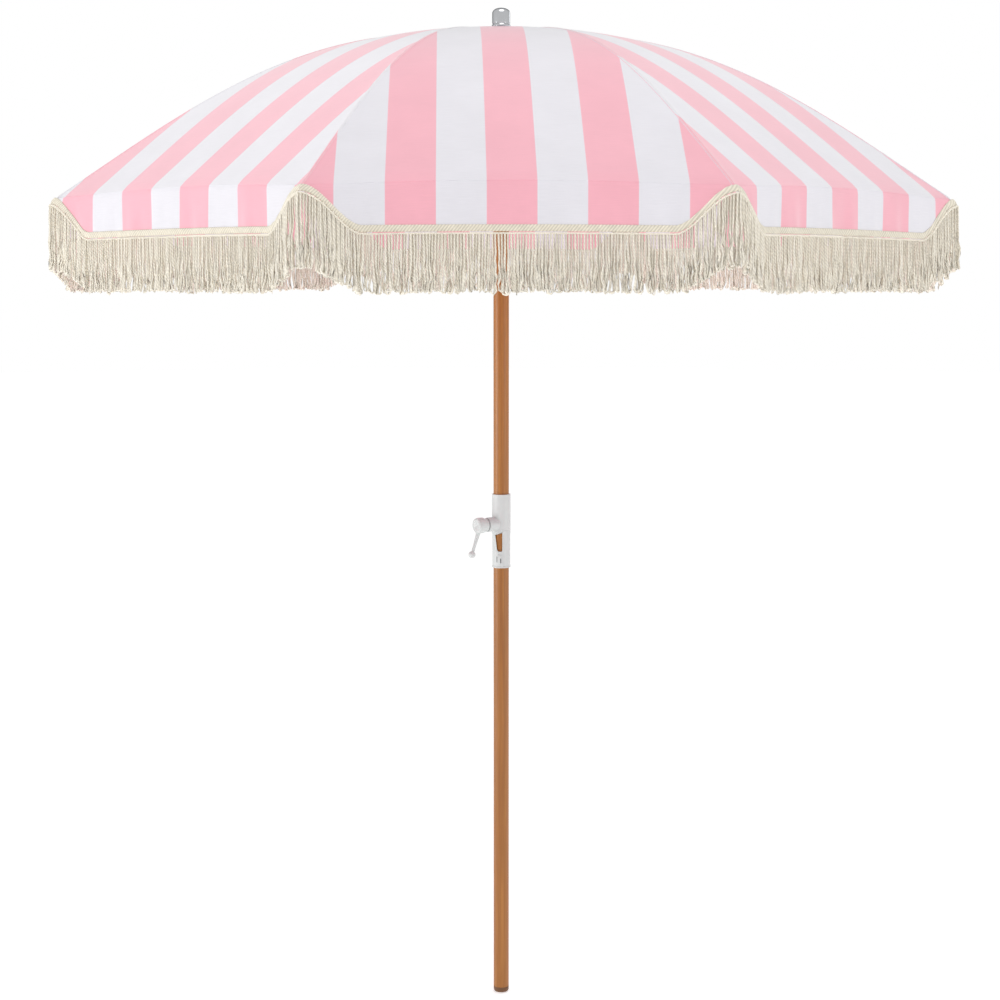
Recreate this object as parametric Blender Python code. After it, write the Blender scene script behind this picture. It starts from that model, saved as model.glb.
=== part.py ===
"""A fringed beach umbrella: a tilting two-part pole, eight folding ribs and a canopy cut in rib-centred sections.

Metres, +Z up. The origin is the middle of the pole's foot, and -Y is the front. It stands open and upright.
"""

import math

import bmesh
import bpy
from mathutils import Matrix, Vector

MM = 0.001
GAP = 0.3 * MM

# Pole and foot
POLE_R = 17.5 * MM
POLE_BORE_R = 16.3 * MM
FOOT_H = 12 * MM
FOOT_FLAT_R = 13.5 * MM

# Tilt coupling
TILT_Z = 1.0755
TILT_HEADING = math.radians(215)  # where the clamp's axis points, anticlockwise from +X
SLEEVE_R = 21.3 * MM
LOWER_SLEEVE_R = 20.6 * MM
SLEEVE_BORE_R = POLE_R + GAP
LOWER_SLEEVE_BOTTOM = 0.977
UPPER_SLEEVE_TOP = 1.143
KNUCKLE_R = 24 * MM  # the parting face is a cylinder of this radius about the tilt axis
KNUCKLE_SHOULDER = 11.2 * MM
UPPER_POLE_START = TILT_Z + 22.3 * MM
TONGUE_HALF = 7 * MM
TONGUE_R = 11 * MM
BOLT_R = 4 * MM
BOLT_HOLE_R = BOLT_R + GAP
BOLT_HEAD_R = 7 * MM
BOLT_HEAD_START = 16.8 * MM  # from the pole's axis, on the side away from the lever
BOSS_R = 16.5 * MM
BOSS_END = 39.5 * MM
WASHER_END = 40.8 * MM
KNOB_START = 41.1 * MM
KNOB_END = 69 * MM
KNOB_R = 18 * MM
ARM_DROP = 64 * MM
ARM_REACH = 80 * MM
ARM_BALL_R = 8.2 * MM

# Canopy
RIBS = 8
SEGMENT = 2 * math.pi / RIBS
FIRST_RIB = math.radians(-65.5)  # the front right rib; the canopy sits turned 2 degrees from square
CANOPY_R = 0.987
APEX_Z = 2.170
RIB_DROP = (0.060, 0.725, -0.405)  # weights of the squared, cubed and fourth power of the way out
HUB_RISE = 16 * MM  # how far the crown lifts the fabric
HUB_RISE_R = 45 * MM
CREASE_ARCH = 12 * MM
SKIN = 1.6 * MM
SECTION_START_R = 40 * MM
ROW_CROWDING = 1.5  # above 1 sets a section's rows closer together near the crown
VALANCE_DROP = 73 * MM
VALANCE_CORNER = 105 * MM
TAPE_W = 16 * MM
FRINGE_L = 96 * MM
VALANCE_T = 7 * MM
TIP_FLARE = 14 * MM

# Ribs and stretchers
HINGE_R = 30 * MM
RIB_HINGE_Z = 2.165
RIB_R = 2.5 * MM
RIB_START_R = 32.3 * MM
RIB_END_R = 0.9822
RIB_BELOW = 7 * MM
CLIP_AT_R = 0.480
PIVOT_BELOW = 8 * MM
STRETCHER_L = 0.500
STRETCHER_R = 2.2 * MM
STRETCHER_OFFSET = 7 * MM
RING_R = 1.2 * MM

# Crown and finial
UPPER_POLE_TOP = 2.1497
HUB_R = 35 * MM
SLOT_ROOT_R = 25.5 * MM
FINIAL_R = 20 * MM
FINIAL_BOTTOM = 2.1895
FINIAL_TOP = 2.2315
PATCH_R = 52 * MM

# Runner
RUNNER_R = 24 * MM
RUNNER_BORE_R = POLE_R + 0.5 * MM
BUTTON_HEADING = math.radians(2)

# Sides of a round piece
ROUND = 32
FEW = 24


def clear_scene():
    for obj in list(bpy.data.objects):
        bpy.data.objects.remove(obj, do_unlink=True)


def srgb(code):
    """Linear RGBA from an sRGB hex code."""
    parts = [int(code[i : i + 2], 16) / 255 for i in (0, 2, 4)]
    return [c / 12.92 if c < 0.04045 else ((c + 0.055) / 1.055) ** 2.4 for c in parts] + [1]


def finish(name, code, roughness, metallic=0.0):
    mat = bpy.data.materials.new(name)
    mat.use_nodes = True
    shader = mat.node_tree.nodes["Principled BSDF"]
    shader.inputs["Base Color"].default_value = srgb(code)
    shader.inputs["Roughness"].default_value = roughness
    shader.inputs["Metallic"].default_value = metallic
    return mat


def mesh_from(name, verts, faces, smooth_below=40):
    """A closed mesh, shaded smooth over edges flatter than the given angle."""
    mesh = bpy.data.meshes.new(name)
    mesh.from_pydata([tuple(v) for v in verts], [], faces)
    bm = bmesh.new()
    bm.from_mesh(mesh)
    bmesh.ops.recalc_face_normals(bm, faces=bm.faces)
    bm.to_mesh(mesh)
    bm.free()
    mesh.shade_smooth()
    mesh.set_sharp_from_angle(angle=math.radians(smooth_below))
    return mesh


def show(name, mesh, mat, parent=None):
    """One sub-part. Its mesh is in its parent's frame."""
    obj = bpy.data.objects.new(name, mesh)
    bpy.context.collection.objects.link(obj)
    if not mesh.materials:
        mesh.materials.append(mat)
    obj.parent = parent
    return obj


def frame_at(name, place, heading=0.0):
    """An empty on a joint's axis, turned about Z so that its X is the given heading."""
    empty = bpy.data.objects.new(name, None)
    bpy.context.collection.objects.link(empty)
    empty.location = place
    empty.rotation_euler.z = heading
    return empty


def moved(mesh, matrix):
    mesh.transform(matrix)
    return mesh


def cut_with(mesh, cutters, operation="DIFFERENCE"):
    """The mesh after an exact Boolean with each cutter in turn."""
    work = bpy.data.objects.new("work", mesh)
    bpy.context.collection.objects.link(work)
    tools = []
    for cutter in cutters:
        tool = bpy.data.objects.new("cutter", cutter)
        bpy.context.collection.objects.link(tool)
        tool.hide_render = True
        tool.display_type = "WIRE"
        step = work.modifiers.new("cut", "BOOLEAN")
        step.object = tool
        step.operation = operation
        step.solver = "EXACT"
        tools.append(tool)
    bpy.context.view_layer.update()
    graph = bpy.context.evaluated_depsgraph_get()
    result = bpy.data.meshes.new_from_object(work.evaluated_get(graph))
    for obj in [work, *tools]:
        bpy.data.objects.remove(obj, do_unlink=True)
    result.shade_smooth()
    result.set_sharp_from_angle(angle=math.radians(40))
    return result


def ring_faces(rings, size, closed):
    """Quads between rings of points numbered one after another."""
    last = rings if closed else rings - 1
    quads = []
    for i in range(last):
        here, there = i * size, (i + 1) % rings * size
        quads += [(here + j, here + (j + 1) % size, there + (j + 1) % size, there + j) for j in range(size)]
    return quads


def turned(name, profile, steps=FEW, hollow=False):
    """A profile of (radius, height) points turned about Z. A hollow one is a closed loop clear of the axis."""
    verts = [
        (r * math.cos(2 * math.pi * k / steps), r * math.sin(2 * math.pi * k / steps), z)
        for r, z in profile
        for k in range(steps)
    ]
    faces = ring_faces(len(profile), steps, hollow)
    if not hollow:
        faces += [tuple(range(steps)), tuple(range(len(verts) - steps, len(verts)))]
    return mesh_from(name, verts, faces)


def tube(name, inner, outer, bottom, top, steps=FEW):
    return turned(name, [(inner, bottom), (outer, bottom), (outer, top), (inner, top)], steps, hollow=True)


def swept(name, path, radii, sides=6):
    """A round bar along a path in the XZ plane or near it, with a radius at each point."""
    verts = []
    for i, (point, radius) in enumerate(zip(path, radii, strict=True)):
        along = (path[min(i + 1, len(path) - 1)] - path[max(i - 1, 0)]).normalized()
        side = Vector((0, 1, 0))
        up = along.cross(side).normalized()
        for k in range(sides):
            turn = 2 * math.pi * (k + 0.5) / sides
            verts.append(point + radius * (math.cos(turn) * side + math.sin(turn) * up))
    faces = ring_faces(len(path), sides, False)
    faces += [tuple(range(sides)), tuple(range(len(verts) - sides, len(verts)))]
    return mesh_from(name, verts, faces)


def prism(name, outline, start, end):
    """An outline of (x, z) points pushed along Y from start to end."""
    verts = [(x, y, z) for y in (start, end) for x, z in outline]
    size = len(outline)
    faces = ring_faces(2, size, False) + [tuple(range(size)), tuple(range(size, 2 * size))]
    return mesh_from(name, verts, faces)


def arc(radius, start, end, steps):
    """(x, z) points on a circle about the origin, with angles in degrees from +X."""
    angles = [math.radians(start + (end - start) * k / steps) for k in range(steps + 1)]
    return [(radius * math.cos(a), radius * math.sin(a)) for a in angles]


def box(name, low, high):
    corners = [(x, z) for x, z in ((low[0], low[2]), (high[0], low[2]), (high[0], high[2]), (low[0], high[2]))]
    return prism(name, corners, low[1], high[1])


def ring_wire(name, radius, height):
    """A wire hinge ring about Z."""
    steps, sides = 32, 5
    verts = []
    for k in range(steps):
        a = 2 * math.pi * k / steps
        for j in range(sides):
            b = 2 * math.pi * j / sides
            r = radius + RING_R * math.cos(b)
            verts.append((r * math.cos(a), r * math.sin(a), height + RING_R * math.sin(b)))
    return mesh_from(name, verts, ring_faces(steps, sides, True))


# The canopy's surface. It is set out in one rib's own frame: X out along the rib, Y sideways, Z up.


def smooth_step(x):
    x = min(max(x, 0.0), 1.0)
    return x * x * (3 - 2 * x)


def fabric_z(r):
    """Height of the fabric over a rib, at a distance r from the pole's axis."""
    u = r / CANOPY_R
    drop = sum(weight * u ** (power + 2) for power, weight in enumerate(RIB_DROP))
    return APEX_Z - drop + HUB_RISE * math.exp(-((r / HUB_RISE_R) ** 2))


def fabric_point(u, t):
    """A point at u of the way out and t of the way across to the next rib. t runs from -0.5 to 0.5."""
    side, across = math.copysign(1, t), abs(t)
    x = CANOPY_R * u * (1 - across * (1 - math.cos(SEGMENT)))
    y = side * CANOPY_R * u * across * math.sin(SEGMENT)
    return Vector((x, y, fabric_z(CANOPY_R * u) + CREASE_ARCH * u * 4 * across * (1 - across)))


def section_mesh(origin):
    """One rib's share of the canopy, from half way across one panel to half way across the next."""
    rows, columns = 13, 5
    start = SECTION_START_R / CANOPY_R
    verts = []
    for thickness in (0, SKIN):
        for i in range(rows):
            u = start + (1 - start) * (i / (rows - 1)) ** ROW_CROWDING
            half = 0.5 - GAP / 2 / (u * CANOPY_R * math.sin(SEGMENT))
            for j in range(columns):
                t = half * (2 * j / (columns - 1) - 1)
                verts.append(fabric_point(u, t) - Vector((0, 0, thickness)) - origin)
    return mesh_from("canopy_section", verts, sheet_faces(rows, columns), 60)


def sheet_faces(rows, columns):
    """Faces of a closed slab made of two grids, one after the other."""
    top = [
        (i * columns + j, i * columns + j + 1, (i + 1) * columns + j + 1, (i + 1) * columns + j)
        for i in range(rows - 1)
        for j in range(columns - 1)
    ]
    size = rows * columns
    under = [tuple(size + v for v in reversed(face)) for face in top]
    edge = list(range(columns))
    edge += [i * columns + columns - 1 for i in range(1, rows)]
    edge += [(rows - 1) * columns + j for j in range(columns - 2, -1, -1)]
    edge += [i * columns for i in range(rows - 2, 0, -1)]
    walls = [(a, b, size + b, size + a) for a, b in zip(edge, edge[1:] + edge[:1], strict=True)]
    return top + under + walls


def valance_mesh(origin):
    """One rib tip's share of the valance, its tape and its fringe, to the middle of the panel on either side."""
    chord = 2 * CANOPY_R * math.sin(SEGMENT / 2)
    half = chord / 2 - GAP / 2
    stations = [half * f for f in (0, 0.04, 0.1, 0.19, 0.28, 0.45, 0.7, 1)]
    stations = [-s for s in reversed(stations[1:])] + stations
    clear = 1.5 * MM
    rows = 4
    verts = []
    for depth in (clear, clear + VALANCE_T):
        for row in range(rows):
            for s in stations:
                side, along = math.copysign(1, s), abs(s)
                arch = 4 * (along / chord) * (1 - along / chord)
                lean = SEGMENT / 2 * smooth_step(along / (0.06 * chord))
                near_tip = 1 - smooth_step(along / VALANCE_CORNER)
                tape_z = fabric_z(CANOPY_R) + 4 * MM * arch
                tape_z -= VALANCE_DROP * smooth_step(along / VALANCE_CORNER)
                top_z = fabric_z(CANOPY_R) + CREASE_ARCH * arch + 1 * MM
                heights = (top_z, min(tape_z, top_z - 1 * MM), tape_z - TAPE_W, tape_z - TAPE_W - FRINGE_L)
                flares = (0, 0.25, 0.7, 1)
                out = depth / math.cos(SEGMENT / 2 - lean) + TIP_FLARE * near_tip * flares[row]
                sideways_of_rib = side * along * math.cos(SEGMENT / 2)
                point = Vector((CANOPY_R - along * math.sin(SEGMENT / 2), sideways_of_rib, 0))
                point += out * Vector((math.cos(lean), side * math.sin(lean), 0))
                point.z = heights[row]
                verts.append(point - origin)
    return mesh_from("valance", verts, sheet_faces(rows, len(stations)), 60)


def rib_centre(r):
    """The rib's centre line, just under the fabric and bent up into the crown."""
    slope = (fabric_z(r + MM) - fabric_z(r - MM)) / (2 * MM)
    under_fabric = fabric_z(r) - RIB_BELOW * math.hypot(1, slope)
    blend = smooth_step((r - RIB_START_R) / 0.07)
    return Vector((r, 0, RIB_HINGE_Z * (1 - blend) + under_fabric * blend))


def rib_mesh(origin):
    """A sprung steel rib with a ball tip."""
    runs = ((RIB_START_R, CLIP_AT_R - 12 * MM, 7), (CLIP_AT_R + 12 * MM, RIB_END_R, 7))
    stations = [start + (end - start) * k / steps for start, end, steps in runs for k in range(steps + 1)]
    path = [rib_centre(r) - origin for r in stations]
    along = (path[-1] - path[-2]).normalized()
    tip = path[-1]
    ball = [(-3.4, 2.5), (-2.2, 3.2), (0, 3.5), (2.2, 2.7), (3.2, 1.3)]
    path = path[:-1] + [tip + along * z * MM for z, _ in ball]
    radii = [RIB_R] * (len(stations) - 1) + [r * MM for _, r in ball]
    return swept("rib", path, radii)


def clip_frame():
    """Where the stretcher's clip sits on the rib, and the rib's slope there."""
    centre = rib_centre(CLIP_AT_R)
    slope = (rib_centre(CLIP_AT_R + MM) - rib_centre(CLIP_AT_R - MM)).normalized()
    return centre, slope


def stretcher_pivot():
    return rib_centre(CLIP_AT_R) - Vector((0, 0, PIVOT_BELOW))


def clip_mesh(origin):
    """A clip gripping the rib, with an ear at its side for the stretcher's rivet."""
    centre, slope = clip_frame()
    barrel = tube("clip", RIB_R + 2 * GAP, 4.0 * MM, -7 * MM, 7 * MM, 12)
    outline = [(-4.5 * MM, -2.6 * MM), (4.5 * MM, -2.6 * MM)] + [
        (x, z - 8 * MM) for x, z in arc(3.4 * MM, 0, -180, 4)
    ]
    ear = prism("ear", outline, 2.9 * MM, 4.3 * MM)
    turn = Matrix.Rotation(math.atan2(slope.x, slope.z), 4, "Y")
    barrel = moved(barrel, turn)
    web = box("web", (-4.5 * MM, 2.95 * MM, -3.2 * MM), (4.5 * MM, 4.25 * MM, 0.5 * MM))
    whole = cut_with(barrel, [ear, web], "UNION")
    return moved(whole, Matrix.Translation(centre - origin))


def stretcher_mesh(open_angle):
    """A steel strut from the runner's ring to the rib's clip, held to one side of the rib."""
    direction = Vector((math.cos(open_angle), 0, math.sin(open_angle)))
    ends = [(2.3 * MM, STRETCHER_R), (STRETCHER_L + 3.5 * MM, STRETCHER_R), (STRETCHER_L + 5 * MM, 1.2 * MM)]
    path = [direction * s + Vector((0, STRETCHER_OFFSET, 0)) for s, _ in ends]
    return swept("stretcher", path, [r for _, r in ends], 8)


def slot_cutters(count, first, inner, offset, width, low, high):
    """Boxes that cut radial slots, each shifted sideways by the offset."""
    return [
        moved(
            box("slot", (inner, offset - width / 2, low), (0.06, offset + width / 2, high)),
            Matrix.Rotation(first + SEGMENT * k, 4, "Z"),
        )
        for k in range(count)
    ]


# Sub-parts


def make_pole():
    wood = finish("wood_print_steel", "A97B50", 0.45)
    dark = finish("foot_plastic", "8A6038", 0.5)
    lower = tube("lower_pole", POLE_BORE_R, POLE_R, FOOT_H + GAP, TILT_Z, ROUND)
    lower = cut_with(lower, [in_tilt_frame(knuckle_profile_mesh(KNUCKLE_R + 2 * GAP))])
    show("lower_pole", lower, wood)
    upper = tube("upper_pole", POLE_BORE_R, POLE_R, UPPER_POLE_START, UPPER_POLE_TOP, ROUND)
    upper = moved(upper, Matrix.Translation((0, 0, -TILT_Z)))
    plug = [(FOOT_FLAT_R, 0), (16 * MM, 1 * MM), (17.2 * MM, 3.6 * MM), (POLE_R, 7 * MM), (POLE_R, FOOT_H)]
    plug += [(POLE_BORE_R - GAP, FOOT_H), (POLE_BORE_R - GAP, 45 * MM)]
    show("pole_foot_plug", turned("pole_foot_plug", plug, ROUND), dark)
    return upper, wood


def in_tilt_frame(mesh):
    """From the tilt's frame, with Y along the clamp's axis, to the world's."""
    turn = Matrix.Rotation(TILT_HEADING - math.pi / 2, 4, "Z")
    return moved(mesh, Matrix.Translation((0, 0, TILT_Z)) @ turn)


def knuckle_profile_mesh(radius):
    """All that lies above the parting face: a cylinder about the tilt axis, and the space over its shoulders."""
    side = 26 * MM
    rim = math.degrees(math.asin(KNUCKLE_SHOULDER / radius))
    outline = [(-side, -KNUCKLE_SHOULDER)] + arc(radius, -180 + rim, -rim, 20) + [(side, -KNUCKLE_SHOULDER)]
    outline += [(side, 0.12), (-side, 0.12)]
    return prism("knuckle", outline, -30 * MM, 30 * MM)


def across(profile):
    """A turned piece whose axis is the clamp's, from (radius, distance along it) points."""
    return moved(turned("across", profile), Matrix.Rotation(-math.pi / 2, 4, "X"))


def lower_sleeve_mesh():
    rim, top = LOWER_SLEEVE_BOTTOM + 3 * MM, TILT_Z - 5 * MM
    profile = [(SLEEVE_BORE_R, LOWER_SLEEVE_BOTTOM), (SLEEVE_R, LOWER_SLEEVE_BOTTOM), (SLEEVE_R, rim)]
    profile += [(LOWER_SLEEVE_R, rim + 1 * MM), (LOWER_SLEEVE_R, top), (SLEEVE_BORE_R, top)]
    sleeve = turned("lower_sleeve", profile, ROUND, hollow=True)
    parting = in_tilt_frame(knuckle_profile_mesh(KNUCKLE_R + GAP))
    corner = 2.6 * MM
    left, right, low, high = -13.8 * MM, 2.4 * MM, 1.0143, 1.065
    foot_left = -8.3 * MM
    outline = [(left - 1.2 * MM, high), (foot_left - 1.2 * MM, low + 2 * corner)]
    outline += [(foot_left + corner + x, low + corner + z) for x, z in arc(corner, 190, 270, 4)]
    outline += [(right - corner + x, low + corner + z) for x, z in arc(corner, 270, 360, 4)] + [(right, high)]
    window = prism("window", outline, -30 * MM, -4 * MM)
    return cut_with(sleeve, [parting, window])


def tongue_mesh():
    """The plug in the lower pole and the flat tongue that the bolt goes through."""
    plug = turned("tongue", [(POLE_BORE_R - GAP, -75 * MM), (POLE_BORE_R - GAP, -28 * MM)])
    outline = [(-TONGUE_R, -30 * MM), (TONGUE_R, -30 * MM)] + arc(TONGUE_R, 0, 180, 10)
    tongue = prism("tongue", outline, -TONGUE_HALF, TONGUE_HALF)
    hole = across([(BOLT_HOLE_R, -20 * MM), (BOLT_HOLE_R, 20 * MM)])
    return in_tilt_frame(cut_with(cut_with(plug, [tongue], "UNION"), [hole]))


def upper_sleeve_mesh():
    """The pole's upper socket and knuckle, in the tilt's frame."""
    top = UPPER_SLEEVE_TOP - TILT_Z
    barrel = turned("upper_sleeve", [(SLEEVE_R, -26 * MM), (SLEEVE_R, top)], ROUND)
    barrel = cut_with(barrel, [knuckle_profile_mesh(KNUCKLE_R)], "INTERSECT")
    boss = across([(BOSS_R, 8 * MM), (BOSS_R, BOSS_END - 1 * MM), (BOSS_R - 1 * MM, BOSS_END)])
    barrel = cut_with(barrel, [boss], "UNION")
    reach = TONGUE_R + 2 * GAP
    swing = 50
    slope = Vector((math.cos(math.radians(swing)), 0, -math.sin(math.radians(swing))))
    shoulder = arc(reach, 180, 90 - swing, 10)
    run = (26 * MM - shoulder[-1][0]) / slope.x
    exit_point = (26 * MM, shoulder[-1][1] + run * slope.z)
    outline = [(-reach, -30 * MM)] + shoulder + [exit_point, (26 * MM, -30 * MM)]
    slot = prism("slot", outline, -TONGUE_HALF - GAP, TONGUE_HALF + GAP)
    socket = turned("socket", [(SLEEVE_BORE_R, 22 * MM), (SLEEVE_BORE_R, top + 5 * MM)], ROUND)
    hole = across([(BOLT_HOLE_R, -40 * MM), (BOLT_HOLE_R, 60 * MM)])
    sink = across([(BOLT_HEAD_R + GAP, -40 * MM), (BOLT_HEAD_R + GAP, -BOLT_HEAD_START + GAP)])
    return cut_with(barrel, [slot, socket, hole, sink])


def lever_mesh():
    """The clamp's knob with its arm and ball, in the tilt's frame."""
    knob = [(13.5 * MM, KNOB_START), (15 * MM, KNOB_START + 1 * MM), (15.5 * MM, 49 * MM), (17.4 * MM, 50.5 * MM)]
    knob += [(KNOB_R, 53 * MM), (KNOB_R, 64 * MM), (16.8 * MM, 67.6 * MM), (14.5 * MM, KNOB_END)]
    knob += [(9 * MM, KNOB_END - 0.4 * MM), (4 * MM, KNOB_END - 2.2 * MM), (1 * MM, KNOB_END - 2.8 * MM)]
    start, end = Vector((0, 60 * MM, -8 * MM)), Vector((0, ARM_REACH, -ARM_DROP))
    along = (end - start).normalized()
    length = (end - start).length
    stations = [(0, 6.6), (12, 5.2), (26, 4.3), (length / MM - 7.6, 3.5)]
    stations += [
        (length / MM + ARM_BALL_R / MM * math.sin(a), ARM_BALL_R / MM * math.cos(a))
        for a in (math.radians(d) for d in (-58, -40, -18, 5, 28, 52, 74))
    ]
    side = Vector((1, 0, 0))
    up = along.cross(side)
    sides = 14
    verts = []
    for distance, radius in stations:
        for k in range(sides):
            turn = 2 * math.pi * k / sides
            ring = math.cos(turn) * side + math.sin(turn) * up
            verts.append(start + along * distance * MM + radius * MM * ring)
    faces = ring_faces(len(stations), sides, False)
    faces += [tuple(range(sides)), tuple(range(len(verts) - sides, len(verts)))]
    arm = mesh_from("arm", verts, faces)
    hole = across([(BOLT_HOLE_R, 20 * MM), (BOLT_HOLE_R, 62 * MM)])
    return cut_with(cut_with(across(knob), [arm], "UNION"), [hole])


def make_tilt(upper_pole, wood):
    white = finish("white_abs", "E8E8E8", 0.4)
    steel = finish("zinc_steel", "B9BCC0", 0.35, 1.0)
    show("lower_sleeve", lower_sleeve_mesh(), white)
    show("tilt_tongue", tongue_mesh(), white)
    tilt = frame_at("tilt_axis", (0, 0, TILT_Z))
    clamp = frame_at("clamp_axis", (0, 0, 0), TILT_HEADING - math.pi / 2)
    clamp.parent = tilt
    show("upper_pole", upper_pole, wood, tilt)
    show("upper_sleeve", upper_sleeve_mesh(), white, clamp)
    washer = across_ring(BOLT_HOLE_R, 11 * MM, BOSS_END + GAP, WASHER_END)
    show("clamp_washer", washer, steel, clamp)
    head = [(BOLT_HEAD_R - 1 * MM, -20.6 * MM), (BOLT_HEAD_R, -19.6 * MM), (BOLT_HEAD_R, -BOLT_HEAD_START)]
    bolt = across([*head, (BOLT_R, -BOLT_HEAD_START), (BOLT_R, 60 * MM)])
    show("tilt_bolt", bolt, steel, clamp)
    show("clamp_lever", lever_mesh(), white, clamp)
    return tilt


def across_ring(inner, outer, start, end):
    return moved(tube("ring", inner, outer, start, end), Matrix.Rotation(-math.pi / 2, 4, "X"))


def make_crown(tilt):
    """The notched hub on top of the pole, its hinge wire, cover, fabric patch and finial."""
    plastic = finish("white_nylon", "DADAD8", 0.5)
    steel = finish("crown_steel", "B9BCC0", 0.35, 1.0)
    chrome = finish("chrome", "D8DADC", 0.12, 1.0)
    cloth = finish("patch_fabric", "F3F3F6", 0.8)
    lift = Matrix.Translation((0, 0, -TILT_Z))
    bottom = UPPER_POLE_TOP + GAP
    hub = [(15.9 * MM, 2.100), (15.9 * MM, bottom), (HUB_R - 2 * MM, bottom), (HUB_R, bottom + 2 * MM)]
    hub += [(HUB_R, 2.1745), (6 * MM, 2.1745), (6 * MM, 2.170), (2 * MM, 2.170)]
    groove = tube("groove", HINGE_R - 1.7 * MM, HINGE_R + 1.7 * MM, RIB_HINGE_Z - 1.7 * MM, 2.18)
    slots = slot_cutters(RIBS, FIRST_RIB, SLOT_ROOT_R, 0, 6.4 * MM, 2.14, 2.18)
    hub = cut_with(turned("crown_hub", hub), [groove, *slots])
    show("crown_hub", moved(hub, lift), plastic, tilt)
    show("crown_ring", moved(ring_wire("crown_ring", HINGE_R, RIB_HINGE_Z), lift), steel, tilt)
    plate = tube("crown_plate", 4.3 * MM, HUB_R, 2.1748, 2.1766)
    show("crown_plate", moved(plate, lift), plastic, tilt)
    stud = turned("finial_stud", [(4 * MM, 2.1703), (4 * MM, 2.214)], 16)
    show("finial_stud", moved(stud, lift), steel, tilt)
    radii = [4.4 * MM, 16 * MM, 28 * MM, 40 * MM, PATCH_R]
    over = [(r, fabric_z(r) + 1.8 * MM) for r in radii]
    under = [(r, fabric_z(r) + 0.6 * MM) for r in reversed(radii)]
    patch = turned("top_patch", under + over, hollow=True)
    show("top_patch", moved(patch, lift), cloth, tilt)
    cap = [(5 * MM, FINIAL_BOTTOM), (FINIAL_R + 0.6 * MM, FINIAL_BOTTOM)]
    cap += [(FINIAL_R + 0.8 * MM, FINIAL_BOTTOM + 3 * MM)]
    cap += [(FINIAL_R, FINIAL_BOTTOM + 7 * MM), (FINIAL_R, FINIAL_TOP - 12 * MM)]
    turns = [math.radians(d) for d in (16, 34, 52, 68, 82)]
    dome = [(FINIAL_R * math.cos(a), 12 * MM * math.sin(a)) for a in turns]
    cap += [(r, FINIAL_TOP - 12 * MM + z) for r, z in dome]
    cap = turned("finial_cap", cap)
    well = turned("well", [(4.4 * MM, FINIAL_BOTTOM - MM), (4.4 * MM, 2.216)], 16)
    show("finial_cap", moved(cut_with(cap, [well]), lift), chrome, tilt)


def runner_pivot_z():
    """Where the stretchers meet the runner when the canopy is open."""
    pivot = stretcher_pivot()
    return pivot.z - math.sqrt(STRETCHER_L**2 - (pivot.x - HINGE_R) ** 2)


def make_runner(tilt):
    """The sliding runner, its hinge wire and its push button, in a frame at the stretchers' pivots."""
    plastic = finish("runner_nylon", "DADAD8", 0.5)
    steel = finish("runner_steel", "B9BCC0", 0.35, 1.0)
    grey = finish("button_acetal", "C9C9C7", 0.4)
    runner = frame_at("runner_slide", (0, 0, runner_pivot_z() - TILT_Z))
    runner.parent = tilt
    bore, body = RUNNER_BORE_R, RUNNER_R
    profile = [(bore, -48 * MM), (28 * MM, -48 * MM), (29 * MM, -46 * MM), (28 * MM, -43 * MM), (body, -40 * MM)]
    profile += [(body, -12 * MM), (HUB_R + MM, -9 * MM), (HUB_R + MM, 9 * MM), (body, 10 * MM), (bore, 10 * MM)]
    ring_r = math.hypot(HINGE_R, STRETCHER_OFFSET)
    groove = tube("groove", ring_r - 1.7 * MM, ring_r + 1.7 * MM, -1.7 * MM, 20 * MM)
    slots = slot_cutters(RIBS, FIRST_RIB, 24.6 * MM, STRETCHER_OFFSET, 5.8 * MM, -11 * MM, 20 * MM)
    boss = moved(turned("boss", [(6.5 * MM, 21 * MM), (6.5 * MM, 31 * MM)], 20), sideways(-26 * MM))
    well = moved(turned("well", [(4.5 * MM, 22.4 * MM), (4.5 * MM, 40 * MM)], 20), sideways(-26 * MM))
    mesh = cut_with(turned("runner", profile, hollow=True), [groove, *slots])
    mesh = cut_with(cut_with(mesh, [boss], "UNION"), [well])
    show("runner", mesh, plastic, runner)
    show("runner_ring", ring_wire("runner_ring", ring_r, 0), steel, runner)
    button = turned("runner_button", [(4.1 * MM, 25.9 * MM), (4.1 * MM, 33.4 * MM), (3.1 * MM, 34.2 * MM)], 20)
    show("runner_button", moved(button, sideways(-26 * MM)), grey, runner)
    return runner


def sideways(height):
    """Turns a piece made about Z to lie along the button's heading, at a height."""
    lie = Matrix.Rotation(math.pi / 2, 4, "Y")
    return Matrix.Translation((0, 0, height)) @ Matrix.Rotation(BUTTON_HEADING, 4, "Z") @ lie


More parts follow.
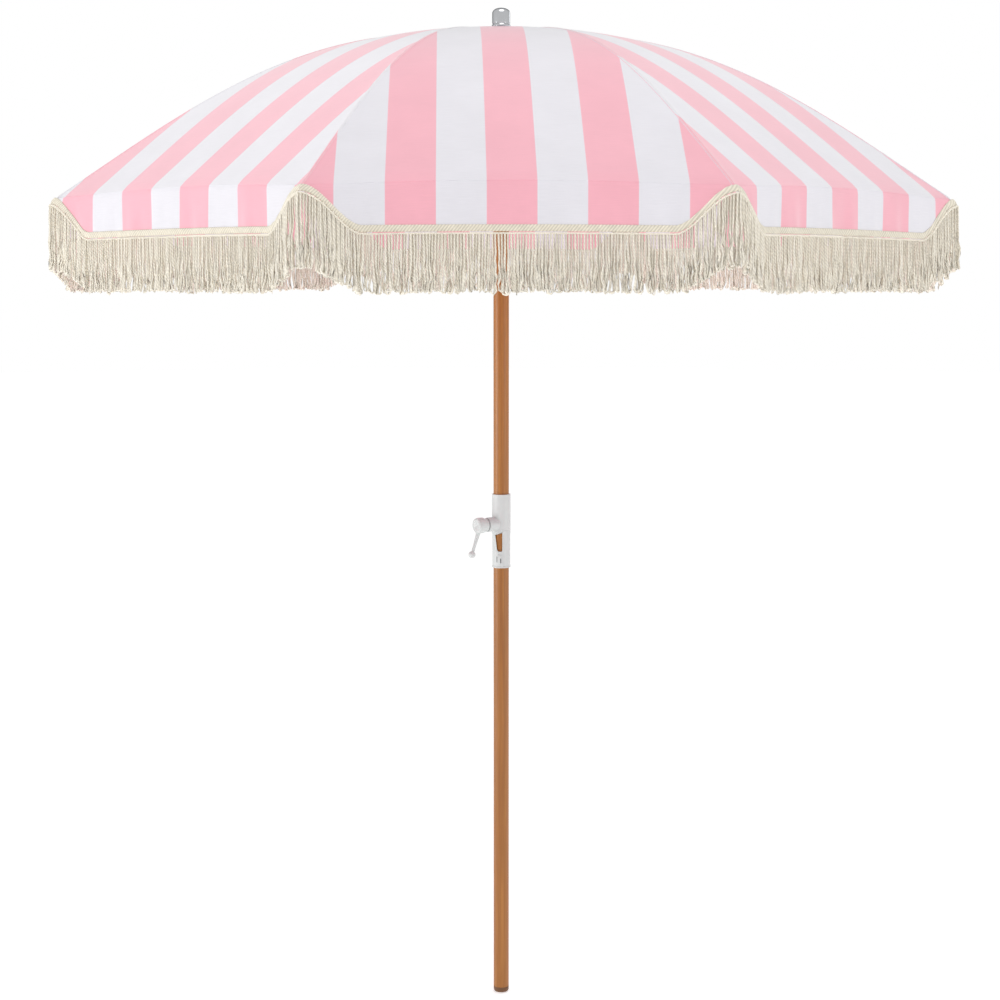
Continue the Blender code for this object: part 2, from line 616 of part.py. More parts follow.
def make_ribs(tilt, runner):
    """Eight ribs with their clips, stretchers and shares of the canopy, each on its own hinge."""
    steel = finish("rib_steel", "D6D6D6", 0.4, 0.6)
    clip = finish("clip_nylon", "DADAD8", 0.5)
    pink = finish("canopy_fabric", "F8BAC7", 0.8)
    cream = finish("fringe_cotton", "E6DFD0", 0.9)
    rib_hinge = Vector((HINGE_R, 0, RIB_HINGE_Z))
    tip_hinge = Vector((CANOPY_R, 0, fabric_z(CANOPY_R)))
    pivot = stretcher_pivot()
    open_angle = math.atan2(pivot.z - runner_pivot_z(), pivot.x - HINGE_R)
    meshes = {
        "rib": (rib_mesh(rib_hinge), steel),
        "rib_clip": (clip_mesh(rib_hinge), clip),
        "canopy_section": (section_mesh(rib_hinge), pink),
    }
    stretcher = stretcher_mesh(open_angle)
    valance = valance_mesh(tip_hinge)
    for k in range(RIBS):
        heading = FIRST_RIB + SEGMENT * k
        out = Vector((math.cos(heading), math.sin(heading), 0))
        hinge = frame_at(f"rib_hinge_{k + 1}", out * HINGE_R + Vector((0, 0, RIB_HINGE_Z - TILT_Z)), heading)
        hinge.parent = tilt
        for name, (mesh, mat) in meshes.items():
            show(f"{name}_{k + 1}", mesh, mat, hinge)
        foot = frame_at(f"stretcher_hinge_{k + 1}", out * HINGE_R, heading)
        foot.parent = runner
        show(f"stretcher_{k + 1}", stretcher, steel, foot)
        tip = frame_at(f"rib_tip_{k + 1}", tip_hinge - rib_hinge)
        tip.parent = hinge
        show(f"valance_{k + 1}", valance, cream, tip)


def main():
    clear_scene()
    upper_pole, wood = make_pole()
    tilt = make_tilt(upper_pole, wood)
    make_crown(tilt)
    make_ribs(tilt, make_runner(tilt))


main()
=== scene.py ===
# %% [markdown]
# # A fringed beach umbrella
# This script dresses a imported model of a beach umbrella: eight striped roof panels, a valance with a woven
# tape and a cord fringe, a wood-look pole in two parts and a white tilt coupling. It starts by loading the
# model as a fixed frame. Every position below is in metres in that frame: Z is up, the pole stands on the
# origin, and the front of the umbrella faces -Y.

# %% Load the frame
import math

import bmesh
import bpy
import numpy as np
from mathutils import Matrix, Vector


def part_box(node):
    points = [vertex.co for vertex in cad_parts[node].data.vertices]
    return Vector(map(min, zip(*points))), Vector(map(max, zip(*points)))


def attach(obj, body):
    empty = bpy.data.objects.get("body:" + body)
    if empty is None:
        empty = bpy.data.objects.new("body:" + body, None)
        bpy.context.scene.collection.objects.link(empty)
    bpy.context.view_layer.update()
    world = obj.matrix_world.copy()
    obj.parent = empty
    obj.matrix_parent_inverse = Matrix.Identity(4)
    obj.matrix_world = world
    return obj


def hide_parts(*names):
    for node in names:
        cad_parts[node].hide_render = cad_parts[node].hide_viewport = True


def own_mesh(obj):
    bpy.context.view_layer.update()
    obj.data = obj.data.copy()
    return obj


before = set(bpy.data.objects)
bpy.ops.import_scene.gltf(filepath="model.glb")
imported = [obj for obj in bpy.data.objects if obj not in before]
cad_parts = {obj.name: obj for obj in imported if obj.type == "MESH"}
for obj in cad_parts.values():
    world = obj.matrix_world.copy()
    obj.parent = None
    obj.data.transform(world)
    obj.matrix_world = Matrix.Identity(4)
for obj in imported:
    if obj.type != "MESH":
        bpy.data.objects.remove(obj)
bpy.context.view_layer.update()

MM = 0.001

# %% [markdown]
# ## Camera
# The camera comes first, because every judgement about the looks is made through it. It stands at a person's
# eye height, a little over four metres in front of the pole, and looks down very slightly. A vertical shift
# slides the view across the sensor, as a shift lens does, so that the pole stays straight and still fits.

# %% Camera
EYE_DISTANCE, EYE_HEIGHT = 4.090, 1.619
LOOK_DOWN = math.radians(3)
camera_data = bpy.data.cameras.new("camera")
camera_data.sensor_width = 36
camera_data.lens = 65.45
camera_data.shift_x, camera_data.shift_y = -0.0012, -0.1217
camera = bpy.data.objects.new("camera", camera_data)
camera.location = (0, -EYE_DISTANCE, EYE_HEIGHT)
camera.rotation_euler = (math.pi / 2 - LOOK_DOWN, 0, 0)
bpy.context.collection.objects.link(camera)
bpy.context.scene.camera = camera
print("camera", camera_data.lens, "mm")

# %% [markdown]
# ## Light and floor
# The umbrella stands in a wide white studio, so nearly all of the light comes from a pale world around it.
# The world looks pure white to the camera, but lights the umbrella a little less than that, or the white
# cloth would burn out: a Light Path node tells the two apart. A tall soft lamp low on the left rounds off the
# pole and brightens the left of the valance, a weaker one on the right fills the shade, and one above lifts
# the roof. The floor is a plain pale disc.

# %% Light and floor
scene = bpy.context.scene
scene.view_settings.view_transform = "Standard"
world = bpy.data.worlds.new("studio")
scene.world = world
world.use_nodes = True
SKY_LIGHT = 0.59
sky_tree = world.node_tree
sky = sky_tree.nodes["Background"]
sky.inputs["Color"].default_value = (1, 1, 1, 1)
seen_directly = sky_tree.nodes.new("ShaderNodeLightPath").outputs["Is Camera Ray"]
brightness = sky_tree.nodes.new("ShaderNodeMapRange")
brightness.inputs["To Min"].default_value = SKY_LIGHT
sky_tree.links.new(seen_directly, brightness.inputs["Value"])
sky_tree.links.new(brightness.outputs[0], sky.inputs["Strength"])


def soft_lamp(name, place, aim, size, power):
    data = bpy.data.lights.new(name, "AREA")
    data.shape = "DISK"
    data.size = size
    data.energy = power
    lamp = bpy.data.objects.new(name, data)
    lamp.location = place
    lamp.rotation_euler = (Vector(aim) - Vector(place)).to_track_quat("-Z", "Y").to_euler()
    bpy.context.collection.objects.link(lamp)
    return lamp


soft_lamp("side_lamp", (-5.4, -1.8, 0.8), (0, 0, 1.1), 2.8, 110)
soft_lamp("top_lamp", (0.2, -1.4, 4.8), (0, 0, 1.8), 2.4, 46)
soft_lamp("right_lamp", (4.6, -2.6, 1.0), (0, 0, 1.2), 2.4, 30)
soft_lamp("back_lamp", (1.8, 2.6, 2.6), (0, 0, 1.3), 1.8, 16)

floor_mesh = bpy.data.meshes.new("floor")
shape = bmesh.new()
bmesh.ops.create_circle(shape, cap_ends=True, segments=96, radius=30)
shape.to_mesh(floor_mesh)
shape.free()
floor = bpy.data.objects.new("floor", floor_mesh)
floor.location.z = -0.001
bpy.context.collection.objects.link(floor)
print("lamps and floor in place")

# %% [markdown]
# ## Two small helpers for node trees
# Blender keeps colours as linear light, but makers and paint charts give sRGB hex codes, so one function
# turns the one into the other. A second function adds a node, sets its inputs and makes its links in one
# line. It serves shader trees and geometry trees alike.

# %% Node helpers


def hex_colour(code):
    """An sRGB code such as "#F8BAC7" as the linear colour that Blender works in."""
    parts = [int(code[i : i + 2], 16) / 255 for i in (1, 3, 5)]
    return (*[p / 12.92 if p <= 0.04045 else ((p + 0.055) / 1.055) ** 2.4 for p in parts], 1)


def add_node(tree, kind, inputs=None, **settings):
    """A new node. inputs gives, by socket name or number, either a value or the output to link from."""
    made = tree.nodes.new(kind)
    for key, value in settings.items():
        setattr(made, key, value)
    for key, value in (inputs or {}).items():
        if isinstance(value, bpy.types.NodeSocket):
            tree.links.new(value, made.inputs[key])
        else:
            made.inputs[key].default_value = value
    return made


def new_material(name, colour, roughness, **constants):
    """A material with one Principled shader. constants are set on the shader's own sockets."""
    material = bpy.data.materials.new(name)
    material.use_nodes = True
    tree = material.node_tree
    shader = tree.nodes["Principled BSDF"]
    shader.inputs["Base Color"].default_value = hex_colour(colour)
    shader.inputs["Roughness"].default_value = roughness
    for key, value in constants.items():
        shader.inputs[key.replace("_", " ")].default_value = value
    material.diffuse_color = hex_colour(colour)
    return material, tree, shader


def roughen(tree, shader, pattern, strength, depth_mm):
    """Lets a pattern from 0 to 1 stand that many millimetres proud, as a bump."""
    bump = add_node(
        tree, "ShaderNodeBump", {"Height": pattern, "Strength": strength, "Distance": depth_mm * MM}
    )
    tree.links.new(bump.outputs["Normal"], shader.inputs["Normal"])


floor_material, _, _ = new_material(
    "matt studio floor", "#FBFBFB", 0.9, Emission_Color=(1, 1, 1, 1), Emission_Strength=0.48
)
floor_mesh.materials.append(floor_material)
print("helpers ready")

# %% [markdown]
# ## Striped polyester for the roof and valance
# The cloth is a plain-weave polyester, printed or woven in even pink and white stripes about 89 mm wide. A
# stripe can be painted by position, but the cloth bends and folds, so here the stripes follow the piece's own
# UV map, which is laid out in metres across and along each panel. A triangle wave (the Ping-pong setting of a
# Math node) turns the distance across into stripes. The yarns are about 0.4 mm apart, too fine to show, so
# the weave is drawn at 1.6 mm. Broad, faint clouds of tone stand for the way that thin cloth takes light, and
# a little sheen for the fuzz of the yarn.

# %% Striped polyester
STRIPE_W = 89.0 * MM
PINK, WHITE = "#F2AFBC", "#E2E0E6"


def weave(tree, place, yarn_mm):
    """Two crossed sets of yarns, from 0 in the gaps to 1 on top."""
    grid = add_node(
        tree, "ShaderNodeVectorMath", {0: place, 1: (math.pi / (yarn_mm * MM),) * 3}, operation="MULTIPLY"
    )
    split = add_node(tree, "ShaderNodeSeparateXYZ", {0: grid.outputs[0]})
    warp = add_node(tree, "ShaderNodeMath", {0: split.outputs["X"]}, operation="SINE")
    weft = add_node(tree, "ShaderNodeMath", {0: split.outputs["Y"]}, operation="SINE")
    crossed = add_node(tree, "ShaderNodeMath", {0: warp.outputs[0], 1: weft.outputs[0]}, operation="MULTIPLY")
    return add_node(tree, "ShaderNodeMath", {0: crossed.outputs[0], 1: 0.5, 2: 0.5}, operation="MULTIPLY_ADD")


def striped_cloth():
    material, tree, shader = new_material(
        "plain-weave striped polyester", PINK, 0.82, Sheen_Weight=0.8, Sheen_Roughness=0.45
    )
    across = add_node(tree, "ShaderNodeUVMap", uv_map="cloth").outputs[0]
    split = add_node(tree, "ShaderNodeSeparateXYZ", {0: across})
    wave = add_node(
        tree, "ShaderNodeMath", {0: split.outputs["X"], 1: STRIPE_W}, operation="PINGPONG"
    )
    edge = 0.35 * MM
    is_white = add_node(
        tree,
        "ShaderNodeMapRange",
        {"Value": wave.outputs[0], "From Min": STRIPE_W / 2 - edge, "From Max": STRIPE_W / 2 + edge},
    )
    stripes = add_node(
        tree,
        "ShaderNodeMix",
        # In a Mix node the colour sockets share their names with others, so they are set by number.
        {0: is_white.outputs[0], 6: hex_colour(PINK), 7: hex_colour(WHITE)},
        data_type="RGBA",
    )
    clouds = add_node(
        tree, "ShaderNodeTexNoise", {"Vector": across, "Scale": 9.0, "Detail": 3.0, "Roughness": 0.6}
    )
    slubs_place = add_node(
        tree, "ShaderNodeVectorMath", {0: across, 1: (30.0, 900.0, 1.0)}, operation="MULTIPLY"
    )
    slubs = add_node(
        tree, "ShaderNodeTexNoise", {"Vector": slubs_place.outputs[0], "Scale": 1.0, "Detail": 2.0}
    )
    both = add_node(tree, "ShaderNodeMath", {0: clouds.outputs[0], 1: slubs.outputs[0]}, operation="ADD")
    tone = add_node(
        tree,
        "ShaderNodeMapRange",
        {"Value": both.outputs[0], "From Min": 0.7, "From Max": 1.3, "To Min": 0.965, "To Max": 1.03},
    )
    toned = add_node(
        tree, "ShaderNodeVectorMath", {0: stripes.outputs[2], "Scale": tone.outputs[0]}, operation="SCALE"
    )
    tree.links.new(toned.outputs[0], shader.inputs["Base Color"])
    roughen(tree, shader, weave(tree, across, 1.6).outputs[0], 0.18, 0.25)
    return material


cloth_finish = striped_cloth()
print("stripes", STRIPE_W / MM, "mm wide")

# %% [markdown]
# ## Cotton for the tape and the fringe
# The trim is undyed cotton: warm cream, quite matt, with a soft fuzz. The tape, called gimp, is woven in
# small slanted ribs, so its bump is slanted waves on the UV map, 6 mm apart, and its tone follows the same
# waves as painted shade, darker in the grooves between the ribs. The fringe cords are two strands twisted
# together. On their UV map, X runs round the cord and Y along it, so a slanted wave gives the twist, one turn
# in 7 mm, with the same painted shade in the grooves between the strands. A slow noise along the height
# darkens some cords a little, as cotton does where its strands open.

# %% Cotton
CREAM = "#F6EFDF"


def cotton(name, colour, map_name, scale, strength, depth_mm, darkest_groove_shade):
    """Cotton whose ribs or twist follow a UV map. scale is how often they repeat, across and along."""
    material, tree, shader = new_material(name, colour, 0.9, Sheen_Weight=0.35, Sheen_Roughness=0.6)
    place = add_node(tree, "ShaderNodeUVMap", uv_map=map_name).outputs[0]
    slanted = add_node(tree, "ShaderNodeVectorMath", {0: place, 1: scale}, operation="DOT_PRODUCT")
    wave = add_node(tree, "ShaderNodeMath", {0: slanted.outputs["Value"]}, operation="SINE")
    height = add_node(tree, "ShaderNodeMath", {0: wave.outputs[0], 1: 0.5, 2: 0.5}, operation="MULTIPLY_ADD")
    solid_place = add_node(tree, "ShaderNodeTexCoord").outputs["Object"]
    clouds = add_node(tree, "ShaderNodeTexNoise", {"Vector": solid_place, "Scale": 90.0, "Detail": 2.0})
    # The tone falls where the wave is low: painted shade in the grooves between ribs or strands. The noise
    # adds random tone on top.
    depth = add_node(tree, "ShaderNodeMath", {0: height.outputs[0], 1: clouds.outputs[0]}, operation="ADD")
    tone = add_node(
        tree,
        "ShaderNodeMapRange",
        {"Value": depth.outputs[0], "From Min": 0.3, "From Max": 1.6, "To Min": darkest_groove_shade, "To Max": 1.05},
    )
    toned = add_node(
        tree, "ShaderNodeVectorMath", {0: hex_colour(colour)[:3], "Scale": tone.outputs[0]}, operation="SCALE"
    )
    tree.links.new(toned.outputs[0], shader.inputs["Base Color"])
    roughen(tree, shader, height.outputs[0], strength, depth_mm)
    return material


TURN = 2 * math.pi
cord_finish = cotton("twisted cotton cord", CREAM, "cord", (2 * TURN, TURN / (7 * MM), 0), 0.7, 0.6, 0.80)
RIB_PITCH = 6.0 * MM
tape_finish = cotton(
    "woven cotton gimp", "#EDE5D2", "cloth", (TURN / RIB_PITCH, 0.8 * TURN / RIB_PITCH, 0), 0.8, 0.6, 0.72
)
print("cotton finishes:", cord_finish.name, "and", tape_finish.name)

# %% [markdown]
# ## Wood-look steel for the pole
# The pole is a steel tube under a film printed like pale walnut, with a clear gloss. Print doesn't stand
# proud of the tube, so the grain is colour only. A noise stretched many times along Z makes the streaks: a
# Mapping node squeezes the place on the piece to a fraction of its height first. The gloss is a thin clear
# coat over a half-matt base. Fine scratches lie in the coat's roughness.

# %% Wood-look film
def wood_film():
    material, tree, shader = new_material("walnut-print film on steel", "#AA7A44", 0.42, Coat_Weight=0.2)
    shader.inputs["Coat Roughness"].default_value = 0.25
    place = add_node(tree, "ShaderNodeTexCoord").outputs["Object"]
    grain_place = add_node(tree, "ShaderNodeMapping", {"Vector": place, "Scale": (220.0, 220.0, 5.0)})
    grain = add_node(
        tree,
        "ShaderNodeTexNoise",
        {"Vector": grain_place.outputs[0], "Scale": 1.0, "Detail": 5.0, "Roughness": 0.6, "Distortion": 0.6},
    )
    band_place = add_node(tree, "ShaderNodeMapping", {"Vector": place, "Scale": (36.0, 36.0, 1.6)})
    bands = add_node(
        tree, "ShaderNodeTexNoise", {"Vector": band_place.outputs[0], "Scale": 1.0, "Detail": 2.0}
    )
    both = add_node(
        tree, "ShaderNodeMath", {0: bands.outputs[0], 1: 0.5, 2: grain.outputs[0]}, operation="MULTIPLY_ADD"
    )
    ramp = add_node(tree, "ShaderNodeValToRGB", {0: both.outputs[0]})
    stops = ramp.color_ramp.elements
    stops[0].position, stops[0].color = 0.45, hex_colour("#905514")
    stops[1].position, stops[1].color = 1.0, hex_colour("#AE7128")
    middle = stops.new(0.76)
    middle.color = hex_colour("#9D611B")
    tree.links.new(ramp.outputs[0], shader.inputs["Base Color"])
    worn = add_node(
        tree, "ShaderNodeMapRange", {"Value": grain.outputs[0], "To Min": 0.36, "To Max": 0.50}
    )
    tree.links.new(worn.outputs[0], shader.inputs["Roughness"])
    return material


pole_finish = wood_film()
print("pole finish:", pole_finish.name)

# %% [markdown]
# ## Moulded plastics
# The coupling is white ABS, the crown, runner and clips are nylon, and the foot plug is dark brown
# polypropylene. All came out of spark-eroded moulds, whose fine pits make an even satin grain. One function
# gives each its tint, gloss and grain. A broad noise also varies the roughness, as handling does. The grain
# is really 0.1 mm or so, and is drawn at about 0.8 mm so that it shows.

# %% Moulded plastics


def moulded(name, colour, roughness, ior):
    material, tree, shader = new_material(name, colour, roughness, IOR=ior)
    place = add_node(tree, "ShaderNodeTexCoord").outputs["Object"]
    grain = add_node(tree, "ShaderNodeTexNoise", {"Vector": place, "Scale": 1200.0, "Detail": 2.0})
    handling = add_node(tree, "ShaderNodeTexNoise", {"Vector": place, "Scale": 55.0, "Detail": 3.0})
    gloss = add_node(
        tree,
        "ShaderNodeMapRange",
        {"Value": handling.outputs[0], "To Min": roughness - 0.1, "To Max": roughness + 0.1},
    )
    tree.links.new(gloss.outputs[0], shader.inputs["Roughness"])
    tone = add_node(
        tree, "ShaderNodeMapRange", {"Value": handling.outputs[0], "To Min": 0.96, "To Max": 1.03}
    )
    toned = add_node(
        tree, "ShaderNodeVectorMath", {0: hex_colour(colour)[:3], "Scale": tone.outputs[0]}, operation="SCALE"
    )
    tree.links.new(toned.outputs[0], shader.inputs["Base Color"])
    roughen(tree, shader, grain.outputs[0], 0.15, 0.08)
    return material


abs_finish = moulded("white ABS", "#CCD0CF", 0.38, 1.53)
nylon_finish = moulded("white nylon", "#DEDEDB", 0.48, 1.53)
grey_finish = moulded("grey acetal", "#C4C4C2", 0.42, 1.48)
foot_finish = moulded("brown polypropylene", "#6E4A2C", 0.5, 1.49)
print("plastics ready")

# %% [markdown]
# ## Metals
# The finial is chromium plate over polished steel: it mirrors the studio, with only a slight haze. Bolts,
# washers and hinge wires are zinc-plated, greyer and duller, with soft blotches where the crystals differ.
# The ribs and stretchers are sprung steel under a white powder coat, which is a paint, so it isn't metallic;
# it has the faint orange-peel waviness of baked powder, about 2 mm across.

# %% Metals and powder coat


def plated(name, colour, roughness, blotch):
    material, tree, shader = new_material(name, colour, roughness, Metallic=1.0)
    place = add_node(tree, "ShaderNodeTexCoord").outputs["Object"]
    blotches = add_node(tree, "ShaderNodeTexNoise", {"Vector": place, "Scale": 260.0, "Detail": 3.0})
    gloss = add_node(
        tree,
        "ShaderNodeMapRange",
        {"Value": blotches.outputs[0], "To Min": roughness - blotch, "To Max": roughness + blotch},
    )
    tree.links.new(gloss.outputs[0], shader.inputs["Roughness"])
    return material


chrome_finish = plated("polished chromium plate", "#E4E6E9", 0.12, 0.04)
chrome_shader = chrome_finish.node_tree.nodes["Principled BSDF"]
# Tinting the edge reflections grey darkens the rim, as a dark room behind the lamps would.
chrome_shader.inputs["Specular Tint"].default_value = hex_colour("#5A5D61")
zinc_finish = plated("zinc-plated steel", "#B4B8BD", 0.36, 0.12)
powder_finish, powder_tree, powder_shader = new_material("white powder coat on steel", "#E4E4E2", 0.36)
powder_place = add_node(powder_tree, "ShaderNodeTexCoord").outputs["Object"]
peel = add_node(powder_tree, "ShaderNodeTexNoise", {"Vector": powder_place, "Scale": 480.0, "Detail": 1.0})
roughen(powder_tree, powder_shader, peel.outputs[0], 0.3, 0.1)
thread_finish, _, _ = new_material("spun polyester thread", "#E6E2E0", 0.7, Sheen_Weight=0.3)
print("metals ready")

# %% [markdown]
# ## The shape of the canopy
# Eight sprung ribs carry the cloth. Along a rib the height falls in a smooth curve from the crown to the tip,
# and between two ribs the cloth spans nearly straight, lifted slightly in the middle and drawn in at the hem.
# Two short functions hold that whole shape, so every piece that touches the cloth can use them: one for the
# height over a rib, one for a point on a panel. Panel k lies between rib k and rib k + 1.

# %% Canopy shape
RIBS = 8
SEGMENT = TURN / RIBS
FIRST_RIB = math.radians(-65.5)
CANOPY_R = 0.987
APEX_Z = 2.170
RIB_DROP = (0.060, 0.725, -0.405)
HUB_RISE, HUB_RISE_R = 16 * MM, 45 * MM
PANEL_ARCH = 12 * MM
PANEL_PULL = 22 * MM  # how far the tight hem is drawn in halfway between two tips
PANEL_START_R = 40 * MM
CLOTH_T = 0.6 * MM
TIP_Z = APEX_Z - sum(RIB_DROP)
HALF_CHORD = CANOPY_R * math.sin(SEGMENT / 2)


def heading(rib):
    return FIRST_RIB + SEGMENT * (rib - 1)


def cloth_z(r):
    u = r / CANOPY_R
    drop = sum(weight * u ** (power + 2) for power, weight in enumerate(RIB_DROP))
    return APEX_Z - drop + HUB_RISE * np.exp(-((r / HUB_RISE_R) ** 2))


def panel_point(panel, out, across):
    """Points on a panel's cloth: out is 0 at the crown and 1 at the hem, across 0 at rib k and 1 at k + 1."""
    radius = CANOPY_R * out
    a, b = heading(panel), heading(panel + 1)
    x = radius * ((1 - across) * math.cos(a) + across * math.cos(b))
    y = radius * ((1 - across) * math.sin(a) + across * math.sin(b))
    arch = 4 * across * (1 - across)
    inward = PANEL_PULL * out**2 * arch
    x -= inward * math.cos((a + b) / 2)
    y -= inward * math.sin((a + b) / 2)
    z = cloth_z(radius) + PANEL_ARCH * out * arch
    return np.stack([x, y, z + 0 * x], -1)


run_r = np.linspace(0, CANOPY_R, 400)
run_length = np.concatenate([[0], np.cumsum(np.hypot(np.diff(run_r), np.diff(cloth_z(run_r))))])
print("rib length over the cloth", round(float(run_length[-1]), 3), "m")

# %% [markdown]
# ## Cloth as a closed sheet
# Cloth could be a single layer of faces, but a printed or simulated part needs a closed body, and light leaks
# through a bare layer. This helper takes a grid of points with the way out of the cloth at each, adds an
# inner layer one thickness below, and walls the edges. The normals are given, not left to Blender, because
# the roof is cut down the middle of each panel, and two pieces that meet there must shade as one.

# %% Closed sheet


def grid_faces(rows, columns, first=0):
    i, j = np.meshgrid(np.arange(rows - 1), np.arange(columns - 1), indexing="ij")
    a = first + i * columns + j
    return np.stack([a, a + 1, a + columns + 1, a + columns], -1).reshape(-1, 4)


def rim_of(rows, columns):
    """The points round the edge of a grid, in order."""
    rim = [*range(columns), *(i * columns + columns - 1 for i in range(1, rows))]
    rim += [(rows - 1) * columns + j for j in range(columns - 2, -1, -1)]
    return np.array(rim + [i * columns for i in range(rows - 2, 0, -1)])


def grid_normals(points):
    """The way out of a grid of points, from the slopes of its rows and columns."""
    down = np.gradient(points, axis=0)
    over = np.gradient(points, axis=1)
    normal = np.cross(over, down)
    return normal / np.linalg.norm(normal, axis=-1, keepdims=True)


def closed_sheet(name, points, normals, maps, thickness, material):
    """A closed sheet whose outer face is the grid of points. maps gives a UV pair for each point."""
    rows, columns = points.shape[:2]
    size = rows * columns
    outer, inner = points.reshape(-1, 3), (points - normals * thickness).reshape(-1, 3)
    faces = grid_faces(rows, columns)
    middle = faces[len(faces) // 2]
    way = np.cross(outer[middle[1]] - outer[middle[0]], outer[middle[3]] - outer[middle[0]])
    if way @ normals.reshape(-1, 3)[middle[0]] < 0:
        faces = faces[:, ::-1]
    edge = rim_of(rows, columns)
    after = np.roll(edge, -1)
    walls = np.stack([edge, after, after + size, edge + size], -1)
    directed = {tuple(pair) for face in faces for pair in zip(face, np.roll(face, -1), strict=True)}
    if (edge[0], after[0]) in directed:
        walls = walls[:, ::-1]
    every = np.concatenate([faces, faces[:, ::-1] + size, walls])
    mesh = bpy.data.meshes.new(name)
    mesh.from_pydata(np.concatenate([outer, inner]).tolist(), [], every.tolist())
    mesh.update()
    index = np.array([loop.vertex_index for loop in mesh.loops])
    uv = mesh.uv_layers.new(name="cloth")
    flat_map = maps.reshape(-1, 2)[index % size]
    uv.data.foreach_set("uv", flat_map.astype(np.float32).ravel())
    way_out = normals.reshape(-1, 3)[index % size] * np.where(index < size, 1, -1)[:, None]
    wall_start = 8 * len(faces)  # after the four corners of each outer and each inner face
    face_normals = np.array([p.normal for p in mesh.polygons])
    way_out[wall_start:] = np.repeat(face_normals[2 * len(faces) :], 4, axis=0)
    mesh.normals_split_custom_set(way_out.tolist())
    mesh.materials.append(material)
    return mesh


def add_piece(name, mesh):
    piece = bpy.data.objects.new(name, mesh)
    bpy.context.collection.objects.link(piece)
    return piece


print("sheet helper ready")

# %% [markdown]
# ## Roof cloth
# The real roof is eight triangular panels joined by felled seams, each lying along a rib. To fold with the
# ribs, the cloth here is cut down the middle of each panel instead, so a piece is one rib's seam with half a
# panel on either side. It could be a subdivided plane shaped by hand, but its shape follows the rule above,
# so a grid of points is computed straight from it. Close to the seam four columns of points draw the flat
# fold of doubled cloth, and beyond it the cloth puckers a little, as sewn polyester does. The map gives the
# distance from the panel's middle line, where every panel was cut with its stripes a little off centre.

# %% Roof cloth
SEAM_HALF = 4 * MM
SEAM_EDGE = 5 * MM
SEAM_LIFT = 1.0 * MM
HEM_BEND, HEM_ROUND = 16 * MM, 2.4 * MM  # the cloth bends down softly over its last few millimetres
ROOF_ROWS, ROOF_COLUMNS = 84, 22
# How far a pink stripe's middle lies from each panel's middle line, at the hem, seen from outside.
PINK_AT = {1: 8, 2: 95, 3: -5, 4: 99, 5: 4, 6: -8, 7: 48, 8: -12}
rng = np.random.default_rng(12)
pucker_phase = rng.uniform(0, TURN, (RIBS + 1, 2))


def panel_of(rib, side):
    """The panel on that side of a rib: +1 is anticlockwise, seen from above."""
    return rib if side > 0 else (rib - 2) % RIBS + 1


def stripe_map(panel, out, along):
    """UV in metres: across the panel from the middle of a pink stripe, and down it. along runs from rib k."""
    chord = 2 * HALF_CHORD * out
    aim = PINK_AT[panel] * MM * (0.65 + 0.35 * out)
    return np.stack([along - chord / 2 - aim, np.interp(CANOPY_R * out, run_r, run_length)], -1)


def roof_side(rib, side):
    """Points and map from the rib to one column past the middle of the panel."""
    start = PANEL_START_R / CANOPY_R
    out = (start + (1 - start) * np.linspace(0, 1, ROOF_ROWS) ** 1.15)[:, None]
    half = HALF_CHORD * out
    fixed = np.array([0, 2.5 * MM, SEAM_HALF, SEAM_EDGE])[None, :] + 0 * out
    share = np.arange(1, ROOF_COLUMNS + 2)[None, :] / ROOF_COLUMNS
    away = np.concatenate([fixed, SEAM_EDGE + (half - SEAM_EDGE) * share], 1)
    across = away / (2 * half)
    panel = panel_of(rib, side)
    points = panel_point(panel, out + 0 * across, across if side > 0 else 1 - across)
    fade = np.clip(1 - away / half, 0, 1) ** 2
    along = np.interp(CANOPY_R * out, run_r, run_length)
    ripple = np.sin(TURN * along / 0.061 + pucker_phase[rib, max(side, 0)] + 3 * np.sin(along * 9))
    ripple = ripple + 0.5 * np.sin(TURN * along / 0.037 + 2 * pucker_phase[rib, max(side, 0)])
    pucker = 0.55 * MM * ripple * np.exp(-away / 0.04) * (1 - np.exp(-away / 0.006)) * fade * out
    fold = SEAM_LIFT * (away < SEAM_EDGE - 0.1 * MM)
    to_hem = np.clip((along - run_length[-1]) / HEM_BEND + 1, 0, 1)
    points[..., 2] += pucker + fold - HEM_ROUND * to_hem**2
    own = stripe_map(panel, out + 0 * away, away if side > 0 else 2 * half - away)
    return points, own, out, away


def roof_mesh(rib):
    right, right_map, out, away = roof_side(rib, 1)
    left, left_map, _, _ = roof_side(rib, -1)
    # The seam's doubled cloth is the right-hand panel's edge, folded over, so it carries its stripes.
    on_fold = away[:, :3]
    left_map[:, :3] = stripe_map(panel_of(rib, 1), out + 0 * on_fold, -on_fold)
    points = np.concatenate([left[:, :0:-1], right], 1)
    maps = np.concatenate([left_map[:, :0:-1], right_map], 1)
    normals = grid_normals(points)
    normals *= np.sign(normals[..., 2:3])
    inside = slice(1, -1)
    return closed_sheet(
        f"roof_{rib}", points[:, inside], normals[:, inside], maps[:, inside], CLOTH_T, cloth_finish
    )


def gather_with_rib(piece):
    """Gives the piece its own copy of its mesh."""
    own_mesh(piece)


roofs = {}
for rib in range(1, RIBS + 1):
    roofs[rib] = add_piece(f"roof_cloth_{rib}", roof_mesh(rib))
print("roof:", sum(len(p.data.polygons) for p in roofs.values()), "faces")

# %% [markdown]
# ## Valance cloth
# Below the hem the same cloth hangs straight down as a valance. Its lower edge is cut in a shallow scallop:
# high at each rib tip, then swooping down to run level along the panel. It is made in halves, each from a rib
# tip to the middle of a panel, so that each half can hang from its own tip when the ribs fold. A half is
# again a computed grid: one function gives the height of the lower edge, another the way out of the cloth,
# and slow waves make the soft folds of hanging cloth, which run on across the join.

